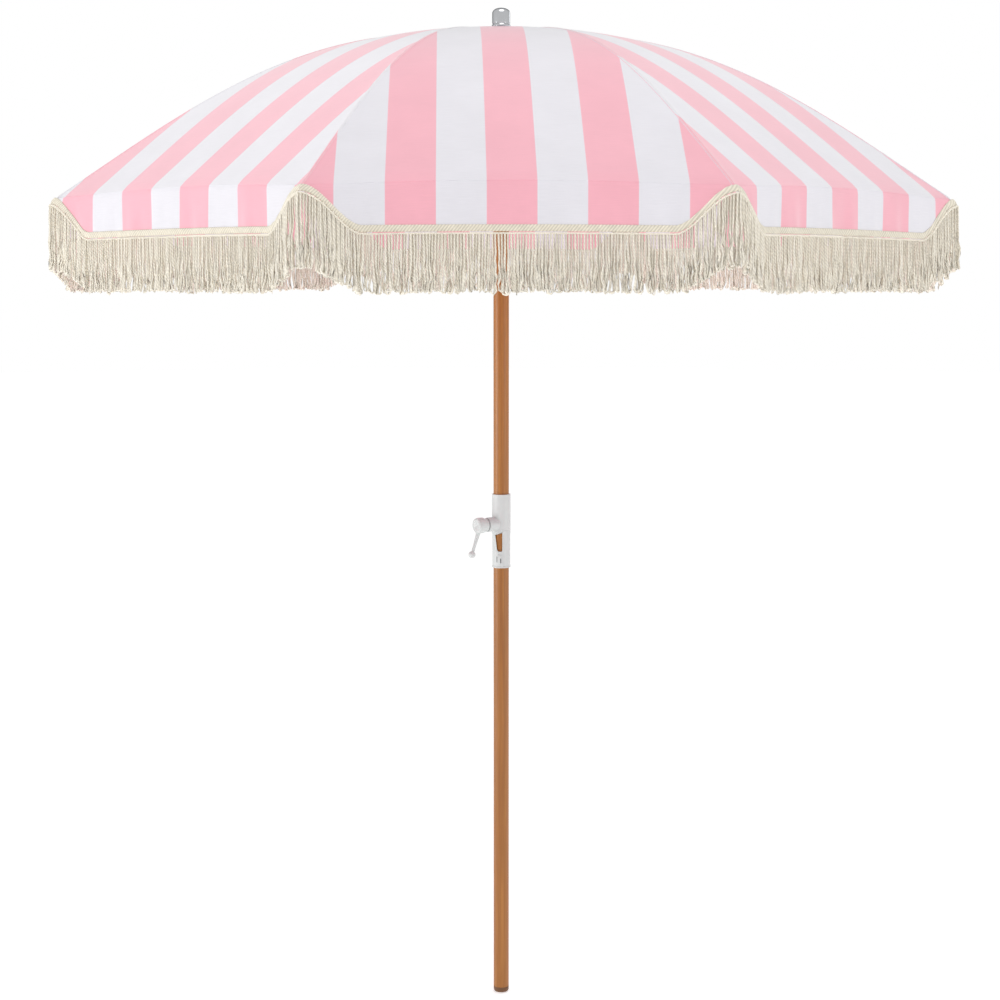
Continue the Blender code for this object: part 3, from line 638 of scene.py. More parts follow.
# %% Valance cloth
CHORD = 2 * HALF_CHORD
VALANCE_DROP, CORNER = 73 * MM, 105 * MM
TAPE_W, BAND_W, FRINGE_L = 16 * MM, 11.5 * MM, 96 * MM
TIP_FLARE = 14 * MM
HALF_TURN = SEGMENT / 2
fold_phase = rng.uniform(0, TURN, (RIBS + 1, 3))


def smooth_step(x):
    x = np.clip(x, 0, 1)
    return x * x * (3 - 2 * x)


def edge_z(s):
    """Height of the valance's lower edge, at a distance s along the hem from the rib's tip."""
    arch = 4 * (s / CHORD) * (1 - s / CHORD)
    return TIP_Z + 4 * MM * arch - VALANCE_DROP * smooth_step(s / CORNER)


def hem_z(s):
    return TIP_Z + PANEL_ARCH * 4 * (s / CHORD) * (1 - s / CHORD)


def waves(rib, side, s, z):
    """The folds of the hanging cloth, as a function of the panel, so that two halves meet."""
    panel = panel_of(rib, side)
    along = s if side > 0 else CHORD - s
    one, two, three = fold_phase[panel]
    return (
        np.sin(TURN * along / 0.118 + one + 6 * z)
        + 0.7 * np.sin(TURN * along / 0.071 + two - 9 * z)
        + 0.35 * np.sin(TURN * along / 0.039 + three + 14 * z)
    )


def hanging(rib, side, s, z, stand):
    """A point of the valance, tape or fringe, that far in front of the cloth's own line."""
    lean = HALF_TURN * smooth_step(s / (0.06 * CHORD))
    below = edge_z(s) - z
    depth = np.clip((hem_z(s) - z) / 0.09, 0, 1)
    flare = np.interp(below, [-80 * MM, 0, TAPE_W, TAPE_W + FRINGE_L], [0, 0.25, 0.7, 1])
    near_tip = 1 - smooth_step(s / CORNER)
    soft = 1.7 * MM * waves(rib, side, s, z) * depth * smooth_step(s / 0.05)
    tuck = 2.6 * MM * (1 - np.clip((hem_z(s) - z) / (12 * MM), 0, 1)) ** 2
    out = 1.2 * MM + stand / np.cos(HALF_TURN - lean) + TIP_FLARE * near_tip * flare + soft - tuck
    out = out - PANEL_PULL * 4 * (s / CHORD) * (1 - s / CHORD)
    x = CANOPY_R - s * math.sin(HALF_TURN) + out * np.cos(lean)
    y = side * (s * math.cos(HALF_TURN) + out * np.sin(lean))
    a = heading(rib)
    return np.stack([x * math.cos(a) - y * math.sin(a), x * math.sin(a) + y * math.cos(a), z + 0 * x], -1)


def hanging_strip(rib, side, steps, top, bottom, rows, stand):
    """A grid of points and its normals. top and bottom give heights along the hem; stand may vary down it."""
    s = np.linspace(0, HALF_CHORD, steps)
    s = np.append(s, 2 * s[-1] - s[-2])[None, :]
    share = np.linspace(0, 1, rows)[:, None]
    z = top(s) * (1 - share) + bottom(s) * share
    stands = np.interp(share, np.linspace(0, 1, len(stand)), stand) if np.ndim(stand) else stand
    points = hanging(rib, side, s + 0 * z, z, stands + 0 * z)
    normals = grid_normals(points)
    a = heading(rib)
    outward = np.array([math.cos(a), math.sin(a), 0])
    normals *= np.sign((normals @ outward)[..., None])
    panel = panel_of(rib, side)
    along = s if side > 0 else CHORD - s
    maps = stripe_map(panel, 1 + 0 * z, along + 0 * z)
    maps[..., 1] += hem_z(s) - z
    return points[:, :-1], normals[:, :-1], maps[:, :-1]


def side_name(side):
    return "right" if side > 0 else "left"


def gather_at_tip(piece):
    """Gives the piece its own copy of its mesh."""
    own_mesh(piece)


halves = [(rib, side) for rib in range(1, RIBS + 1) for side in (-1, 1)]
valances = {}
for rib, side in halves:
    grid = hanging_strip(
        rib, side, 76, lambda s: hem_z(s) - 1.5 * MM, lambda s: edge_z(s) - 8 * MM, 26, 0
    )
    mesh = closed_sheet("valance", *grid, CLOTH_T, cloth_finish)
    valances[rib, side] = add_piece(f"valance_cloth_{rib}_{side_name(side)}", mesh)
print("valance:", len(valances), "halves,", sum(len(p.data.polygons) for p in valances.values()), "faces")

# %% [markdown]
# ## The gimp tape
# A woven tape covers the valance's raw edge. It is about 12 mm wide with a rolled cord along its foot, and
# its slanted ribs stand up enough to catch the light. The band is one more strip on the same functions, set a
# millimetre in front of the cloth, with the ribs as real waves in its surface every 6 mm.

# %% Gimp tape
tapes = {}
for rib, side in halves:
    points, normals, maps = hanging_strip(
        rib,
        side,
        300,
        lambda s: edge_z(s) + 1.0 * MM,
        lambda s: edge_z(s) - BAND_W,
        7,
        [0.9 * MM, 1.9 * MM, 2.1 * MM, 1.9 * MM, 1.2 * MM],
    )
    slant = np.sin(TURN * (maps[..., 0] + 0.8 * maps[..., 1]) / RIB_PITCH)
    points = points + normals * (0.55 * MM * slant)[..., None]
    mesh = closed_sheet("tape", points, normals, maps, 1.1 * MM, tape_finish)
    mesh.normals_split_custom_set_from_vertices([v.normal for v in mesh.vertices])
    tapes[rib, side] = add_piece(f"gimp_tape_{rib}_{side_name(side)}", mesh)
print("tape:", sum(len(p.data.polygons) for p in tapes.values()), "faces")

# %% [markdown]
# ## Geometry Nodes: two helpers
# The twisted cord, the fringe and the stitches repeat thousands of times along a path, which is what Geometry
# Nodes are for. The first helper opens a tree with named inputs. The second puts the tree on a path, sets the
# inputs by each socket's identifier, evaluates it once and keeps the result as a plain mesh. The modifier
# goes with its helper object, so the finished piece is only a mesh.

# %% Geometry Nodes helpers


def geometry_tree(name, inputs):
    tree = bpy.data.node_groups.new(name, "GeometryNodeTree")
    tree.interface.new_socket("Geometry", in_out="INPUT", socket_type="NodeSocketGeometry")
    for label, value in inputs.items():
        kind = "NodeSocketInt" if isinstance(value, int) else "NodeSocketFloat"
        socket = tree.interface.new_socket(label, in_out="INPUT", socket_type=kind)
        socket.default_value = value
    tree.interface.new_socket("Geometry", in_out="OUTPUT", socket_type="NodeSocketGeometry")
    return tree, add_node(tree, "NodeGroupInput").outputs


def end_tree(tree, geometry, material):
    real = add_node(tree, "GeometryNodeRealizeInstances", {0: geometry})
    painted = add_node(
        tree, "GeometryNodeSetMaterial", {"Geometry": real.outputs[0], "Material": material}
    )
    add_node(tree, "NodeGroupOutput", {0: painted.outputs[0]})


def path_mesh(lines):
    """Several lines of points as one mesh of edges."""
    mesh = bpy.data.meshes.new("path")
    points, edges = [], []
    for line in lines:
        first = len(points)
        points += [tuple(p) for p in line]
        edges += [(first + i, first + i + 1) for i in range(len(line) - 1)]
    mesh.from_pydata(points, edges, [])
    return mesh


def grow(name, lines, tree, **values):
    """The tree's result on these lines, as a plain mesh in a new piece."""
    base = add_piece("path", path_mesh(lines))
    step = base.modifiers.new("grow", "NODES")
    step.node_group = tree
    for item in tree.interface.items_tree:
        if item.in_out == "INPUT" and item.name in values:
            step[item.identifier] = values[item.name]
    base.update_tag()
    bpy.context.view_layer.update()
    graph = bpy.context.evaluated_depsgraph_get()
    mesh = bpy.data.meshes.new_from_object(base.evaluated_get(graph))
    bpy.data.objects.remove(base, do_unlink=True)
    mesh.name = name
    return add_piece(name, mesh)


print("Geometry Nodes helpers ready")

# %% [markdown]
# ## The cord along the tape's foot
# The rolled edge is a thick two-strand twist. A smooth tube would look like wire, so the tree strings slanted
# beads along the path, half a twist apart: overlapped and leaning, they read as the lay of a rope. A bead has
# only a few dozen faces, because there are some two thousand of them. The same tree makes the stitches
# further down, with thinner beads that stand apart, so it is built by a function.

# %% Rolled cord tree


def bead_tree(name, inputs, segments, rings, stretch, material):
    """A tree that strings beads on a path. inputs are its Spacing, Radius and Lean; stretch scales a bead."""
    tree, given = geometry_tree(name, inputs)
    curve = add_node(tree, "GeometryNodeMeshToCurve", {0: given["Geometry"]})
    points = add_node(
        tree, "GeometryNodeCurveToPoints", {0: curve.outputs[0], "Length": given["Spacing"]}, mode="LENGTH"
    )
    bead = add_node(
        tree, "GeometryNodeMeshUVSphere", {"Segments": segments, "Rings": rings, "Radius": given["Radius"]}
    )
    smooth = add_node(tree, "GeometryNodeSetShadeSmooth", {0: bead.outputs[0]})
    # Each bead is stretched along its own Z, then Z is turned to lie along the path and leaned over.
    lay_along = add_node(
        tree, "FunctionNodeAlignRotationToVector", {"Vector": points.outputs["Tangent"]}, axis="Z"
    )
    lean_turn = add_node(tree, "ShaderNodeCombineXYZ", {0: given["Lean"]})
    leaned = add_node(
        tree,
        "FunctionNodeRotateRotation",
        {0: lay_along.outputs[0], 1: lean_turn.outputs[0]},
        rotation_space="LOCAL",
    )
    beads = add_node(
        tree,
        "GeometryNodeInstanceOnPoints",
        {
            "Points": points.outputs[0],
            "Instance": smooth.outputs[0],
            "Rotation": leaned.outputs[0],
            "Scale": stretch,
        },
    )
    end_tree(tree, beads.outputs[0], material)
    return tree


ROLLED_CORD = {"Spacing": 3.6 * MM, "Radius": 2.1 * MM, "Lean": 0.75}
roll_tree = bead_tree("rolled cord", ROLLED_CORD, 7, 5, (0.85, 0.85, 1.75), cord_finish)


def hem_line(rib, side, below, stand, steps=120):
    """A line along the hem, that far below the valance's edge and in front of its cloth."""
    s = np.linspace(0, HALF_CHORD, steps)
    return hanging(rib, side, s, edge_z(s) - below, stand)


rolls = {}
for rib, side in halves:
    line = hem_line(rib, side, BAND_W + 2.9 * MM, 1.3 * MM)
    rolls[rib, side] = grow(f"rolled_cord_{rib}_{side_name(side)}", [line], roll_tree)
print("rolled cord:", sum(len(p.data.polygons) for p in rolls.values()), "faces")

# %% [markdown]
# ## The fringe
# The fringe is one long twisted cotton cord, sewn to and fro under the tape so that it hangs in narrow loops
# about 105 mm long, two legs to a loop. The tree first bends a straight line into a loop: a leg down, a half
# circle, a leg up. It gives the loop thickness, stores how far round and along each face lies for the twist
# in the material, and hangs one loop every 10.8 mm along the path. Each loop gets its own slight turn and
# length from a seeded random value, and a noise that is squeezed along the height makes the soft waviness,
# none at the top and most at the foot.

# %% Fringe tree
fringe_tree, fringe_in = geometry_tree(
    "cord fringe",
    {
        "Spacing": 10.8 * MM,
        "Leg gap": 5.4 * MM,
        "Drop": FRINGE_L + 9 * MM,
        "Cord radius": 1.75 * MM,
        "Waviness": 9 * MM,
        "Segments": 23,
        "Seed": 3,
    },
)
BEND_START = 0.40  # the share of the line that makes one leg
CORNER_STRETCH = 1.3


def math_node(operation, *values):
    return add_node(fringe_tree, "ShaderNodeMath", dict(enumerate(values)), operation=operation).outputs[0]


straight = add_node(fringe_tree, "GeometryNodeCurvePrimitiveLine")
fine_line = add_node(
    fringe_tree, "GeometryNodeResampleCurve", {0: straight.outputs[0], "Count": fringe_in["Segments"]}
)
share = add_node(fringe_tree, "GeometryNodeSplineParameter").outputs["Factor"]
half_gap = math_node("MULTIPLY", fringe_in["Leg gap"], 0.5)
bend_share = add_node(
    fringe_tree, "ShaderNodeMapRange", {"Value": share, "From Min": BEND_START, "From Max": 1 - BEND_START}
)
bend_turn = math_node("MULTIPLY", bend_share.outputs[0], math.pi)
loop_x = math_node("MULTIPLY", math_node("MULTIPLY", math_node("COSINE", bend_turn), half_gap), -1.0)
down = math_node("DIVIDE", share, BEND_START)
up = math_node("DIVIDE", math_node("SUBTRACT", 1.0, share), BEND_START)
leg_share = math_node("MINIMUM", math_node("MINIMUM", down, up), 1.0)
leg_length = math_node("SUBTRACT", fringe_in["Drop"], half_gap)
loop_foot = math_node("MULTIPLY", math_node("SINE", bend_turn), half_gap)
loop_depth = math_node("ADD", math_node("MULTIPLY", leg_length, leg_share), loop_foot)
loop_place = add_node(
    fringe_tree, "ShaderNodeCombineXYZ", {0: loop_x, 2: math_node("MULTIPLY", loop_depth, -1.0)}
)
bent = add_node(
    fringe_tree,
    "GeometryNodeSetPosition",
    {"Geometry": fine_line.outputs[0], "Position": loop_place.outputs[0]},
)
length_kept = add_node(fringe_tree, "GeometryNodeCaptureAttribute", {"Geometry": bent.outputs[0]})
length_kept.capture_items.new("FLOAT", "Along")
length_kept.capture_items.new("FLOAT", "Depth")
fringe_tree.links.new(share, length_kept.inputs["Along"])
fringe_tree.links.new(loop_depth, length_kept.inputs["Depth"])
ring = add_node(
    fringe_tree, "GeometryNodeCurvePrimitiveCircle", {"Resolution": 4, "Radius": fringe_in["Cord radius"]}
)
around = add_node(fringe_tree, "GeometryNodeSplineParameter").outputs["Factor"]
round_kept = add_node(fringe_tree, "GeometryNodeCaptureAttribute", {"Geometry": ring.outputs[0]})
round_kept.capture_items.new("FLOAT", "Around")
fringe_tree.links.new(around, round_kept.inputs["Around"])
loop = add_node(
    fringe_tree,
    "GeometryNodeCurveToMesh",
    {"Curve": length_kept.outputs[0], "Profile Curve": round_kept.outputs[0], "Fill Caps": True},
)
both_legs = math_node("MULTIPLY", fringe_in["Drop"], 2.0)
cord_length = math_node("MULTIPLY", length_kept.outputs["Along"], both_legs)
cord_map = add_node(
    fringe_tree, "ShaderNodeCombineXYZ", {0: round_kept.outputs["Around"], 1: cord_length}
)
mapped = add_node(
    fringe_tree,
    "GeometryNodeStoreNamedAttribute",
    {"Geometry": loop.outputs[0], "Name": "cord", "Value": cord_map.outputs[0]},
    data_type="FLOAT2",
    domain="CORNER",
)
smooth_loop = add_node(fringe_tree, "GeometryNodeSetShadeSmooth", {0: mapped.outputs[0]})
hem_curve = add_node(fringe_tree, "GeometryNodeMeshToCurve", {0: fringe_in["Geometry"]})
hem_points = add_node(
    fringe_tree,
    "GeometryNodeCurveToPoints",
    {0: hem_curve.outputs[0], "Length": fringe_in["Spacing"]},
    mode="LENGTH",
)
level = add_node(
    fringe_tree,
    "ShaderNodeVectorMath",
    {0: hem_points.outputs["Tangent"], 1: (1.0, 1.0, 0.0)},
    operation="MULTIPLY",
)
facing = add_node(
    fringe_tree,
    "FunctionNodeAlignRotationToVector",
    {"Vector": level.outputs[0]},
    axis="X",
    pivot_axis="Z",
)
tilt_spread = add_node(
    fringe_tree,
    "FunctionNodeRandomValue",
    {0: (-0.035, -0.03, -0.35), 1: (0.035, 0.03, 0.35), "Seed": fringe_in["Seed"]},
    data_type="FLOAT_VECTOR",
)
turned = add_node(
    fringe_tree,
    "FunctionNodeRotateRotation",
    {0: facing.outputs[0], 1: tilt_spread.outputs[0]},
    rotation_space="LOCAL",
)
size_spread = add_node(
    fringe_tree,
    "FunctionNodeRandomValue",
    {0: (0.82, 1.0, 0.97), 1: (1.12, 1.0, 1.015), "Seed": math_node("ADD", fringe_in["Seed"], 1.0)},
    data_type="FLOAT_VECTOR",
)
# The loops at the scallops' high corners are longer, because their cords splay round the corner.
hung_at = add_node(fringe_tree, "GeometryNodeInputPosition")
hung_height = add_node(fringe_tree, "ShaderNodeSeparateXYZ", {0: hung_at.outputs[0]})
corner_length = add_node(
    fringe_tree,
    "ShaderNodeMapRange",
    {
        "Value": hung_height.outputs["Z"],
        "From Min": TIP_Z - VALANCE_DROP,
        "From Max": TIP_Z,
        "To Min": 1.0,
        "To Max": CORNER_STRETCH,
    },
)
length_scale = add_node(fringe_tree, "ShaderNodeCombineXYZ", {0: 1.0, 1: 1.0, 2: corner_length.outputs[0]})
full_scale = add_node(
    fringe_tree,
    "ShaderNodeVectorMath",
    {0: size_spread.outputs[0], 1: length_scale.outputs[0]},
    operation="MULTIPLY",
)
hung = add_node(
    fringe_tree,
    "GeometryNodeInstanceOnPoints",
    {
        "Points": hem_points.outputs[0],
        "Instance": smooth_loop.outputs[0],
        "Rotation": turned.outputs[0],
        "Scale": full_scale.outputs[0],
    },
)
loose = add_node(fringe_tree, "GeometryNodeRealizeInstances", {0: hung.outputs[0]})
where = add_node(fringe_tree, "GeometryNodeInputPosition").outputs[0]
stretched = add_node(
    fringe_tree, "ShaderNodeVectorMath", {0: where, 1: (105.0, 105.0, 42.0)}, operation="MULTIPLY"
)
drift = add_node(
    fringe_tree, "ShaderNodeTexNoise", {"Vector": stretched.outputs[0], "Scale": 1.0, "Detail": 1.0}
)
centred = add_node(
    fringe_tree, "ShaderNodeVectorMath", {0: drift.outputs["Color"], 1: (0.5, 0.5, 0.5)}, operation="SUBTRACT"
)
depth_share = math_node("DIVIDE", length_kept.outputs["Depth"], fringe_in["Drop"])
full_sway = math_node("MULTIPLY", fringe_in["Waviness"], 2.0)
sway = math_node("MULTIPLY", math_node("POWER", depth_share, 1.3), full_sway)
swayed = add_node(
    fringe_tree, "ShaderNodeVectorMath", {0: centred.outputs[0], "Scale": sway}, operation="SCALE"
)
settled = add_node(
    fringe_tree, "GeometryNodeSetPosition", {"Geometry": loose.outputs[0], "Offset": swayed.outputs[0]}
)
end_tree(fringe_tree, settled.outputs[0], cord_finish)

fringes = {}
for rib, side in halves:
    front_row = hem_line(rib, side, BAND_W + 1.5 * MM, 1.6 * MM)
    back_row = hem_line(rib, side, BAND_W + 1.5 * MM, -2.2 * MM)[2:]
    seed = 3 + 2 * rib + max(side, 0)
    name = f"fringe_{rib}_{side_name(side)}"
    fringes[rib, side] = grow(name, [front_row, back_row], fringe_tree, Seed=seed)
print("fringe:", sum(len(p.data.polygons) for p in fringes.values()), "faces")

# %% [markdown]
# ## Stitches
# A felled seam shows two rows of machine stitches. Each stitch is a short bead of thread, 2.6 mm long with a
# small gap to the next. They are too many to place by hand, so the bead tree strings them on lines that lie
# just on the cloth.

# %% Stitches
STITCH = {"Spacing": 3.4 * MM, "Radius": 0.32 * MM, "Lean": 0.0}
stitch_tree = bead_tree("stitches", STITCH, 5, 4, (1.0, 1.0, 4.2), thread_finish)


def seam_line(rib, away):
    """A line along the seam, that far to one side of the rib, just on the doubled cloth."""
    out = np.linspace(0.066, 0.995, 160)
    across = abs(away) / (2 * HALF_CHORD * out)
    side = 1 if away > 0 else -1
    points = panel_point(panel_of(rib, side), out, across if side > 0 else 1 - across)
    points[:, 2] += SEAM_LIFT + 0.1 * MM
    return points


stitches = {}
for rib in range(1, RIBS + 1):
    lines = [seam_line(rib, 2.7 * MM), seam_line(rib, -2.7 * MM)]
    stitches[rib] = grow(f"stitches_{rib}", lines, stitch_tree)
print("stitches:", sum(len(p.data.polygons) for p in stitches.values()), "faces")

# %% [markdown]
# ## Turned pieces
# The pole tubes, the finial and the patch at the top are all round about the pole's axis. On a lathe or a
# tube mill such a piece is a profile turned once round, and the same is done here: a list of radius and
# height pairs is swept through many steps. A profile that ends off the axis at both ends is joined up as a
# ring, so the piece is always closed.

# %% Turned pieces


def turned_mesh(name, profile, steps, material, ring=True, sharp=40):
    """A profile of (radius, height) pairs turned about Z. ring joins its ends, or else they are capped."""
    mesh = bpy.data.meshes.new(name)
    body = bmesh.new()
    turns = [TURN * k / steps for k in range(steps)]
    rings = [[body.verts.new((r * math.cos(a), r * math.sin(a), z)) for a in turns] for r, z in profile]
    pairs = list(zip(rings, rings[1:], strict=False)) + ([(rings[-1], rings[0])] if ring else [])
    for one, two in pairs:
        for k in range(steps):
            after = (k + 1) % steps
            body.faces.new((one[k], one[after], two[after], two[k]))
    if not ring:
        body.faces.new(rings[0])
        body.faces.new(rings[-1])
    bmesh.ops.recalc_face_normals(body, faces=body.faces)
    body.to_mesh(mesh)
    body.free()
    mesh.shade_smooth()
    mesh.set_sharp_from_angle(angle=math.radians(sharp))
    mesh.materials.append(material)
    return mesh


def rounded(corner_r, corner_z, way_r, way_z, radius, steps=6):
    """Points of a quarter round at a corner. way_r and way_z (+1 or -1) point out of the corner."""
    centre = (corner_r - way_r * radius, corner_z - way_z * radius)
    turns = [math.pi / 2 * k / steps for k in range(steps + 1)]
    return [
        (centre[0] + way_r * radius * math.cos(t), centre[1] + way_z * radius * math.sin(t)) for t in turns
    ]


print("turning helpers ready")


# %% [markdown]
# ## Pole
# Both halves of the pole are plain tubes, 35 mm across with a wall of 1.2 mm and edges deburred to a small
# round. The lower one ends inside the white sleeve, cut to follow the coupling's knuckle, so it stays as the
# model has it and only takes the film. The upper tube is turned afresh with 72 sides for a clean highlight.

# %% Pole
upper_low, upper_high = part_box("upper_pole")
POLE_R, POLE_BORE_R = 17.5 * MM, 16.3 * MM
EDGE = 0.4 * MM
tube_profile = [
    (POLE_BORE_R, upper_low.z),
    *reversed(rounded(POLE_R, upper_low.z, 1, -1, EDGE)),
    *rounded(POLE_R, upper_high.z, 1, 1, EDGE),
    (POLE_BORE_R, upper_high.z),
]
upper_tube = add_piece("upper_tube", turned_mesh("upper_tube", tube_profile, 72, pole_finish))
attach(upper_tube, "upper")
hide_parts("upper_pole")
print("upper tube", round(upper_high.z - upper_low.z, 3), "m long")

# %% [markdown]
# ## Finial
# A small turned cap, chromium plated, screws down on the cloth. It has a flared foot ring, a slight waist and
# a domed top. A mirror finish shows every facet, so it is turned with 96 sides from a smooth profile.

# %% Finial
finial_low, finial_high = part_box("finial_cap")
FINIAL_R, FINIAL_DOME = 20 * MM, 12 * MM
SOCKET_TOP_Z = 2.2168  # the blind end of the hole that takes the stud
z0, z1 = finial_low.z, finial_high.z
finial_profile = [(4.6 * MM, z0), (FINIAL_R - 0.4 * MM, z0)]
finial_profile += reversed(rounded(FINIAL_R + 0.8 * MM, z0, 1, -1, 1.2 * MM))
finial_profile += rounded(FINIAL_R + 0.8 * MM, z0 + 4.4 * MM, 1, 1, 1.2 * MM)
finial_profile += [(FINIAL_R - 0.9 * MM, z0 + 4.9 * MM), (FINIAL_R - 1.0 * MM, z0 + 6.2 * MM)]
finial_profile += rounded(FINIAL_R, z0 + 7.4 * MM, 1, -1, 0.9 * MM)[::-1]
dome_turns = [math.radians(90 * k / 14) for k in range(15)]
finial_profile += [
    (max(FINIAL_R * math.cos(a) ** 0.9, 0.4 * MM), z1 - FINIAL_DOME * (1 - math.sin(a))) for a in dome_turns
]
finial_profile += [(0.4 * MM, SOCKET_TOP_Z), (4.6 * MM, SOCKET_TOP_Z)]
finial = add_piece("finial", turned_mesh("finial", finial_profile, 96, chrome_finish, sharp=50))
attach(finial, "upper")
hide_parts("finial_cap")
print("finial", round((z1 - z0) / MM, 1), "mm tall")

# %% [markdown]
# ## Crown patch
# A round patch of plain white cloth covers the place where the eight seams meet. It is a disc about 104 mm
# across with its edge turned under and stitched, so its rim is slightly thicker, and it drapes over the seams
# below it in eight low ridges. It is computed as rings of points that follow the cloth's height.

# %% Crown patch
PATCH_R, PATCH_HOLE_R = 52 * MM, 4.6 * MM
patch_cloth, patch_tree, patch_shader = new_material(
    "plain-weave white polyester", WHITE, 0.85, Sheen_Weight=0.25, Sheen_Roughness=0.5
)
patch_place = add_node(patch_tree, "ShaderNodeTexCoord").outputs["Object"]
roughen(patch_tree, patch_shader, weave(patch_tree, patch_place, 1.6).outputs[0], 0.2, 0.25)


def patch_height(r, a):
    ridge = np.cos(RIBS * (a - FIRST_RIB)) ** 8 * (np.cos(RIBS * (a - FIRST_RIB)) > 0)
    rim = 0.5 * MM * smooth_step((r - 45 * MM) / (1.5 * MM))
    return cloth_z(r) + 2.0 * MM + rim + 0.5 * MM * ridge * smooth_step((r - 20 * MM) / (20 * MM))


turned_under = np.array([45, 46, 47, 50, 51.5]) * MM
patch_r = np.concatenate([np.linspace(PATCH_HOLE_R, 44 * MM, 14), turned_under])
patch_a = TURN * np.arange(160) / 160
grid_r, grid_a = np.meshgrid(patch_r, patch_a, indexing="ij")
over = np.stack([grid_r * np.cos(grid_a), grid_r * np.sin(grid_a), patch_height(grid_r, grid_a)], -1)
rim_r, rim_a = np.meshgrid([PATCH_R], patch_a, indexing="ij")
rim = np.stack([rim_r * np.cos(rim_a), rim_r * np.sin(rim_a), patch_height(rim_r, rim_a) - 0.5 * MM], -1)
under = over[::-1].copy()
under[..., 2] -= 0.8 * MM
rings = np.concatenate([over, rim, under])
patch_mesh = bpy.data.meshes.new("crown_patch")
count, around_count = rings.shape[:2]
ring_index, k = np.meshgrid(np.arange(count), np.arange(around_count), indexing="ij")
after_ring, after_k = (ring_index + 1) % count, (k + 1) % around_count
quads = np.stack(
    [
        ring_index * around_count + k,
        after_ring * around_count + k,
        after_ring * around_count + after_k,
        ring_index * around_count + after_k,
    ],
    -1,
).reshape(-1, 4)
patch_mesh.from_pydata(rings.reshape(-1, 3).tolist(), [], quads.tolist())
patch_body = bmesh.new()
patch_body.from_mesh(patch_mesh)
bmesh.ops.recalc_face_normals(patch_body, faces=patch_body.faces)
patch_body.to_mesh(patch_mesh)
patch_body.free()
patch_mesh.shade_smooth()
patch_mesh.materials.append(patch_cloth)
patch = add_piece("crown_patch", patch_mesh)
circle = TURN * np.linspace(0, 1, 120)
stitch_ring = np.stack(
    [48 * MM * np.cos(circle), 48 * MM * np.sin(circle), patch_height(48 * MM, circle) + 0.1 * MM], -1
)
patch_stitches = grow("crown_patch_stitches", [stitch_ring], stitch_tree)
print("crown patch", 2 * PATCH_R / MM, "mm across")

# %% [markdown]
# ## Snap tab on the lower sleeve
# A small moulded catch stands out from the front of the lower sleeve, below its window. It is a low arch: a
# patch of the sleeve's own cylinder, raised by a millimetre and a half, with its outline rounded at the top.

# %% Snap tab
SLEEVE_R = 20.6 * MM
TAB_HEADING = math.radians(-101)
TAB_LOW, TAB_HIGH, TAB_HALF = 0.9865, 1.0100, 5.4 * MM
tab_mesh = bpy.data.meshes.new("snap_tab")
tab = bmesh.new()
tab_rows, tab_columns = 15, 13
front, back = [], []
for i in range(tab_rows):
    up = i / (tab_rows - 1)
    arch = math.sqrt(max(1 - max((up - 0.62) / 0.38, 0) ** 2, 0.0))
    width = TAB_HALF * (1 - 0.08 * up) * (arch * 0.93 + 0.07)
    for j in range(tab_columns):
        side = 2 * j / (tab_columns - 1) - 1
        a = TAB_HEADING + width * side / SLEEVE_R
        bulge = (1 - abs(side) ** 6) * min(1, up * 6) * min(1, (1 - up) * 5)
        z = TAB_LOW + (TAB_HIGH - TAB_LOW) * up
        for radius, layer in ((SLEEVE_R + 0.2 * MM + 1.5 * MM * bulge, front), (SLEEVE_R - 0.4 * MM, back)):
            layer.append(tab.verts.new((radius * math.cos(a), radius * math.sin(a), z)))
for quad in grid_faces(tab_rows, tab_columns):
    tab.faces.new([front[v] for v in quad])
    tab.faces.new([back[v] for v in quad[::-1]])
tab_edge = rim_of(tab_rows, tab_columns)
for v, w in zip(tab_edge, np.roll(tab_edge, -1), strict=True):
    tab.faces.new((front[v], front[w], back[w], back[v]))
bmesh.ops.recalc_face_normals(tab, faces=tab.faces)
tab.to_mesh(tab_mesh)
tab.free()
tab_mesh.shade_smooth()
tab_mesh.set_sharp_from_angle(angle=math.radians(55))
tab_mesh.materials.append(abs_finish)
snap_tab = add_piece("snap_tab", tab_mesh)
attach(snap_tab, "pole")
print("snap tab", 2 * TAB_HALF / MM, "mm wide")

# %% [markdown]
# ## Slots beside the tab
# Two short slots let the tab spring. They are too fine to cut, so each is a sliver of the same plastic in
# deep shade, a closed sheet bent to the sleeve and laid a hair above its surface.

# %% Slots beside the tab
slot_finish = moulded("white ABS in shade", "#3E4042", 0.6, 1.53)
# Each slot's heading in degrees, its lower and upper end, and how far it stands from the sleeve.
SLOTS = {"snap_slot_left": (-117, 0.990, 1.003, 0.3 * MM), "snap_slot_right": (-93, 0.9885, 0.999, 1.8 * MM)}
for name, (degrees, low, high, proud) in SLOTS.items():
    turn = np.radians(degrees) + np.linspace(-0.9, 0.9, 5)[None, :] * MM / SLEEVE_R
    z = np.linspace(low, high, 14)[:, None]
    way = np.stack([np.cos(turn) + 0 * z, np.sin(turn) + 0 * z, 0 * z + 0 * turn], -1)
    points = way * (SLEEVE_R + proud)
    points[..., 2] = z
    maps = np.stack([turn * SLEEVE_R + 0 * z, z + 0 * turn], -1)
    slot = add_piece(name, closed_sheet(name, points, way, maps, 0.6 * MM, slot_finish))
    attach(slot, "pole")
print("slots:", *SLOTS)

# %% [markdown]
# ## Finishes on the model's own parts
# The pieces whose shape is right already, such as the ribs, the runner and the coupling, stay as the model
# has them. Each only takes the finish of its real material in its first slot.

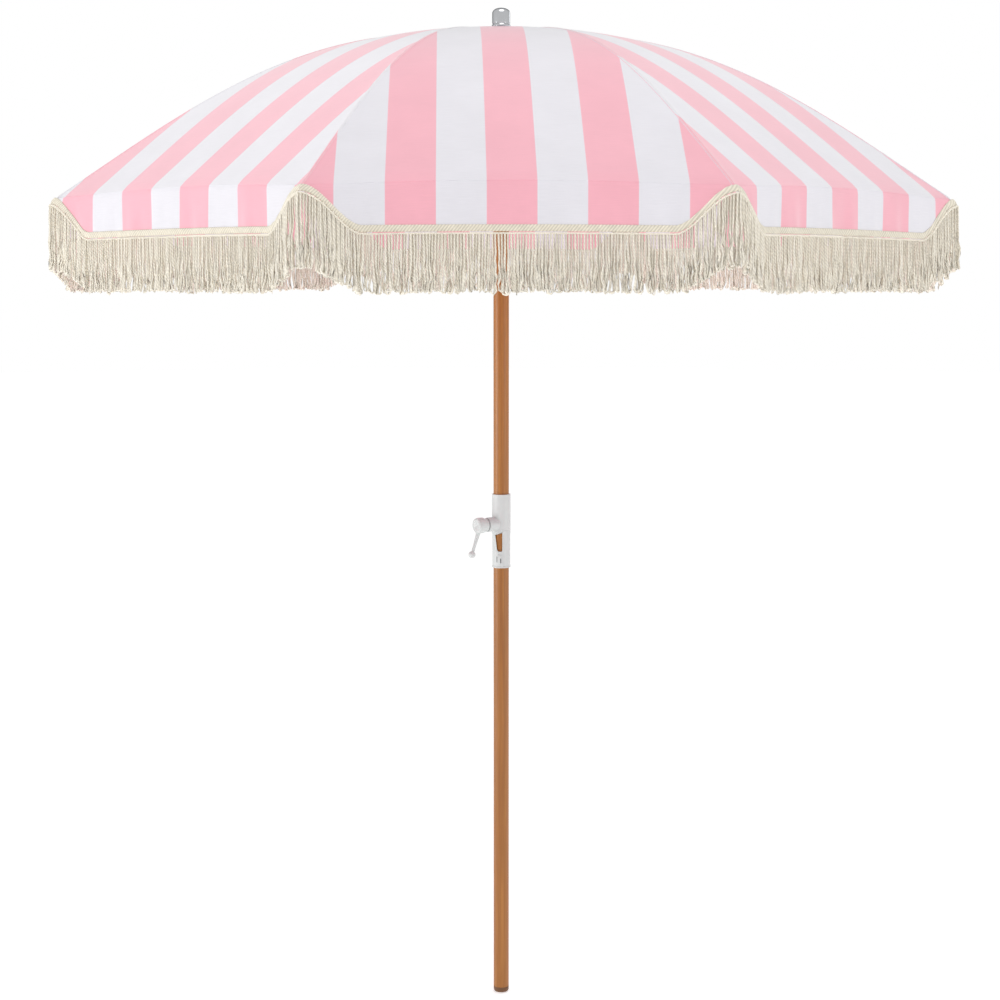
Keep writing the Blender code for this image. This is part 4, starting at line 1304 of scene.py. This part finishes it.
# %% Finishes on the model's own parts
MODEL_FINISHES = {
    "lower_pole": pole_finish,
    "pole_foot_plug": foot_finish,
    "lower_sleeve": abs_finish,
    "tilt_tongue": abs_finish,
    "upper_sleeve": abs_finish,
    "clamp_lever": abs_finish,
    "clamp_washer": zinc_finish,
    "tilt_bolt": zinc_finish,
    "crown_hub": nylon_finish,
    "crown_plate": nylon_finish,
    "crown_ring": zinc_finish,
    "finial_stud": zinc_finish,
    "runner": nylon_finish,
    "runner_ring": zinc_finish,
    "runner_button": grey_finish,
}
for rib in range(1, RIBS + 1):
    MODEL_FINISHES |= {
        f"rib_{rib}": powder_finish,
        f"stretcher_{rib}": powder_finish,
        f"rib_clip_{rib}": nylon_finish,
    }
for name, material in MODEL_FINISHES.items():
    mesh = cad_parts[name].data
    mesh.materials.clear()
    mesh.materials.append(material)
print("finished", len(MODEL_FINISHES), "parts of the model")

# %% [markdown]
# ## Put every piece on its body
# Last, each piece is given the body it moves with, and the model's part that it stands for is hidden. The
# roof cloth and its stitches go with the rib's arm, the hanging trim with the hinge at the rib's tip. The
# flat area that a roof panel was cut to is also worked out.

# %% Ride and replace
slant_out = np.linspace(PANEL_START_R / CANOPY_R, 1, 200)
panel_widths = 2 * HALF_CHORD * slant_out
along_panel = np.interp(CANOPY_R * slant_out, run_r, run_length)
roof_area = float(np.sum((panel_widths[1:] + panel_widths[:-1]) / 2 * np.diff(along_panel)))
roof_area -= CHORD * PANEL_PULL * 2 / 3  # the hem is cut hollow

for rib in range(1, RIBS + 1):
    arm, hem = f"rib_arm_{rib}", f"hem_{rib}"
    for piece in (roofs[rib], stitches[rib]):
        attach(piece, arm)
        gather_with_rib(piece)
    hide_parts(f"canopy_section_{rib}")
    for side in (-1, 1):
        trim = [tapes[rib, side], rolls[rib, side], fringes[rib, side]]
        for piece in (valances[rib, side], *trim):
            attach(piece, hem)
            gather_at_tip(piece)
        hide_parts(f"valance_{rib}")
for piece in (patch, patch_stitches):
    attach(piece, "upper")
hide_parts("top_patch")
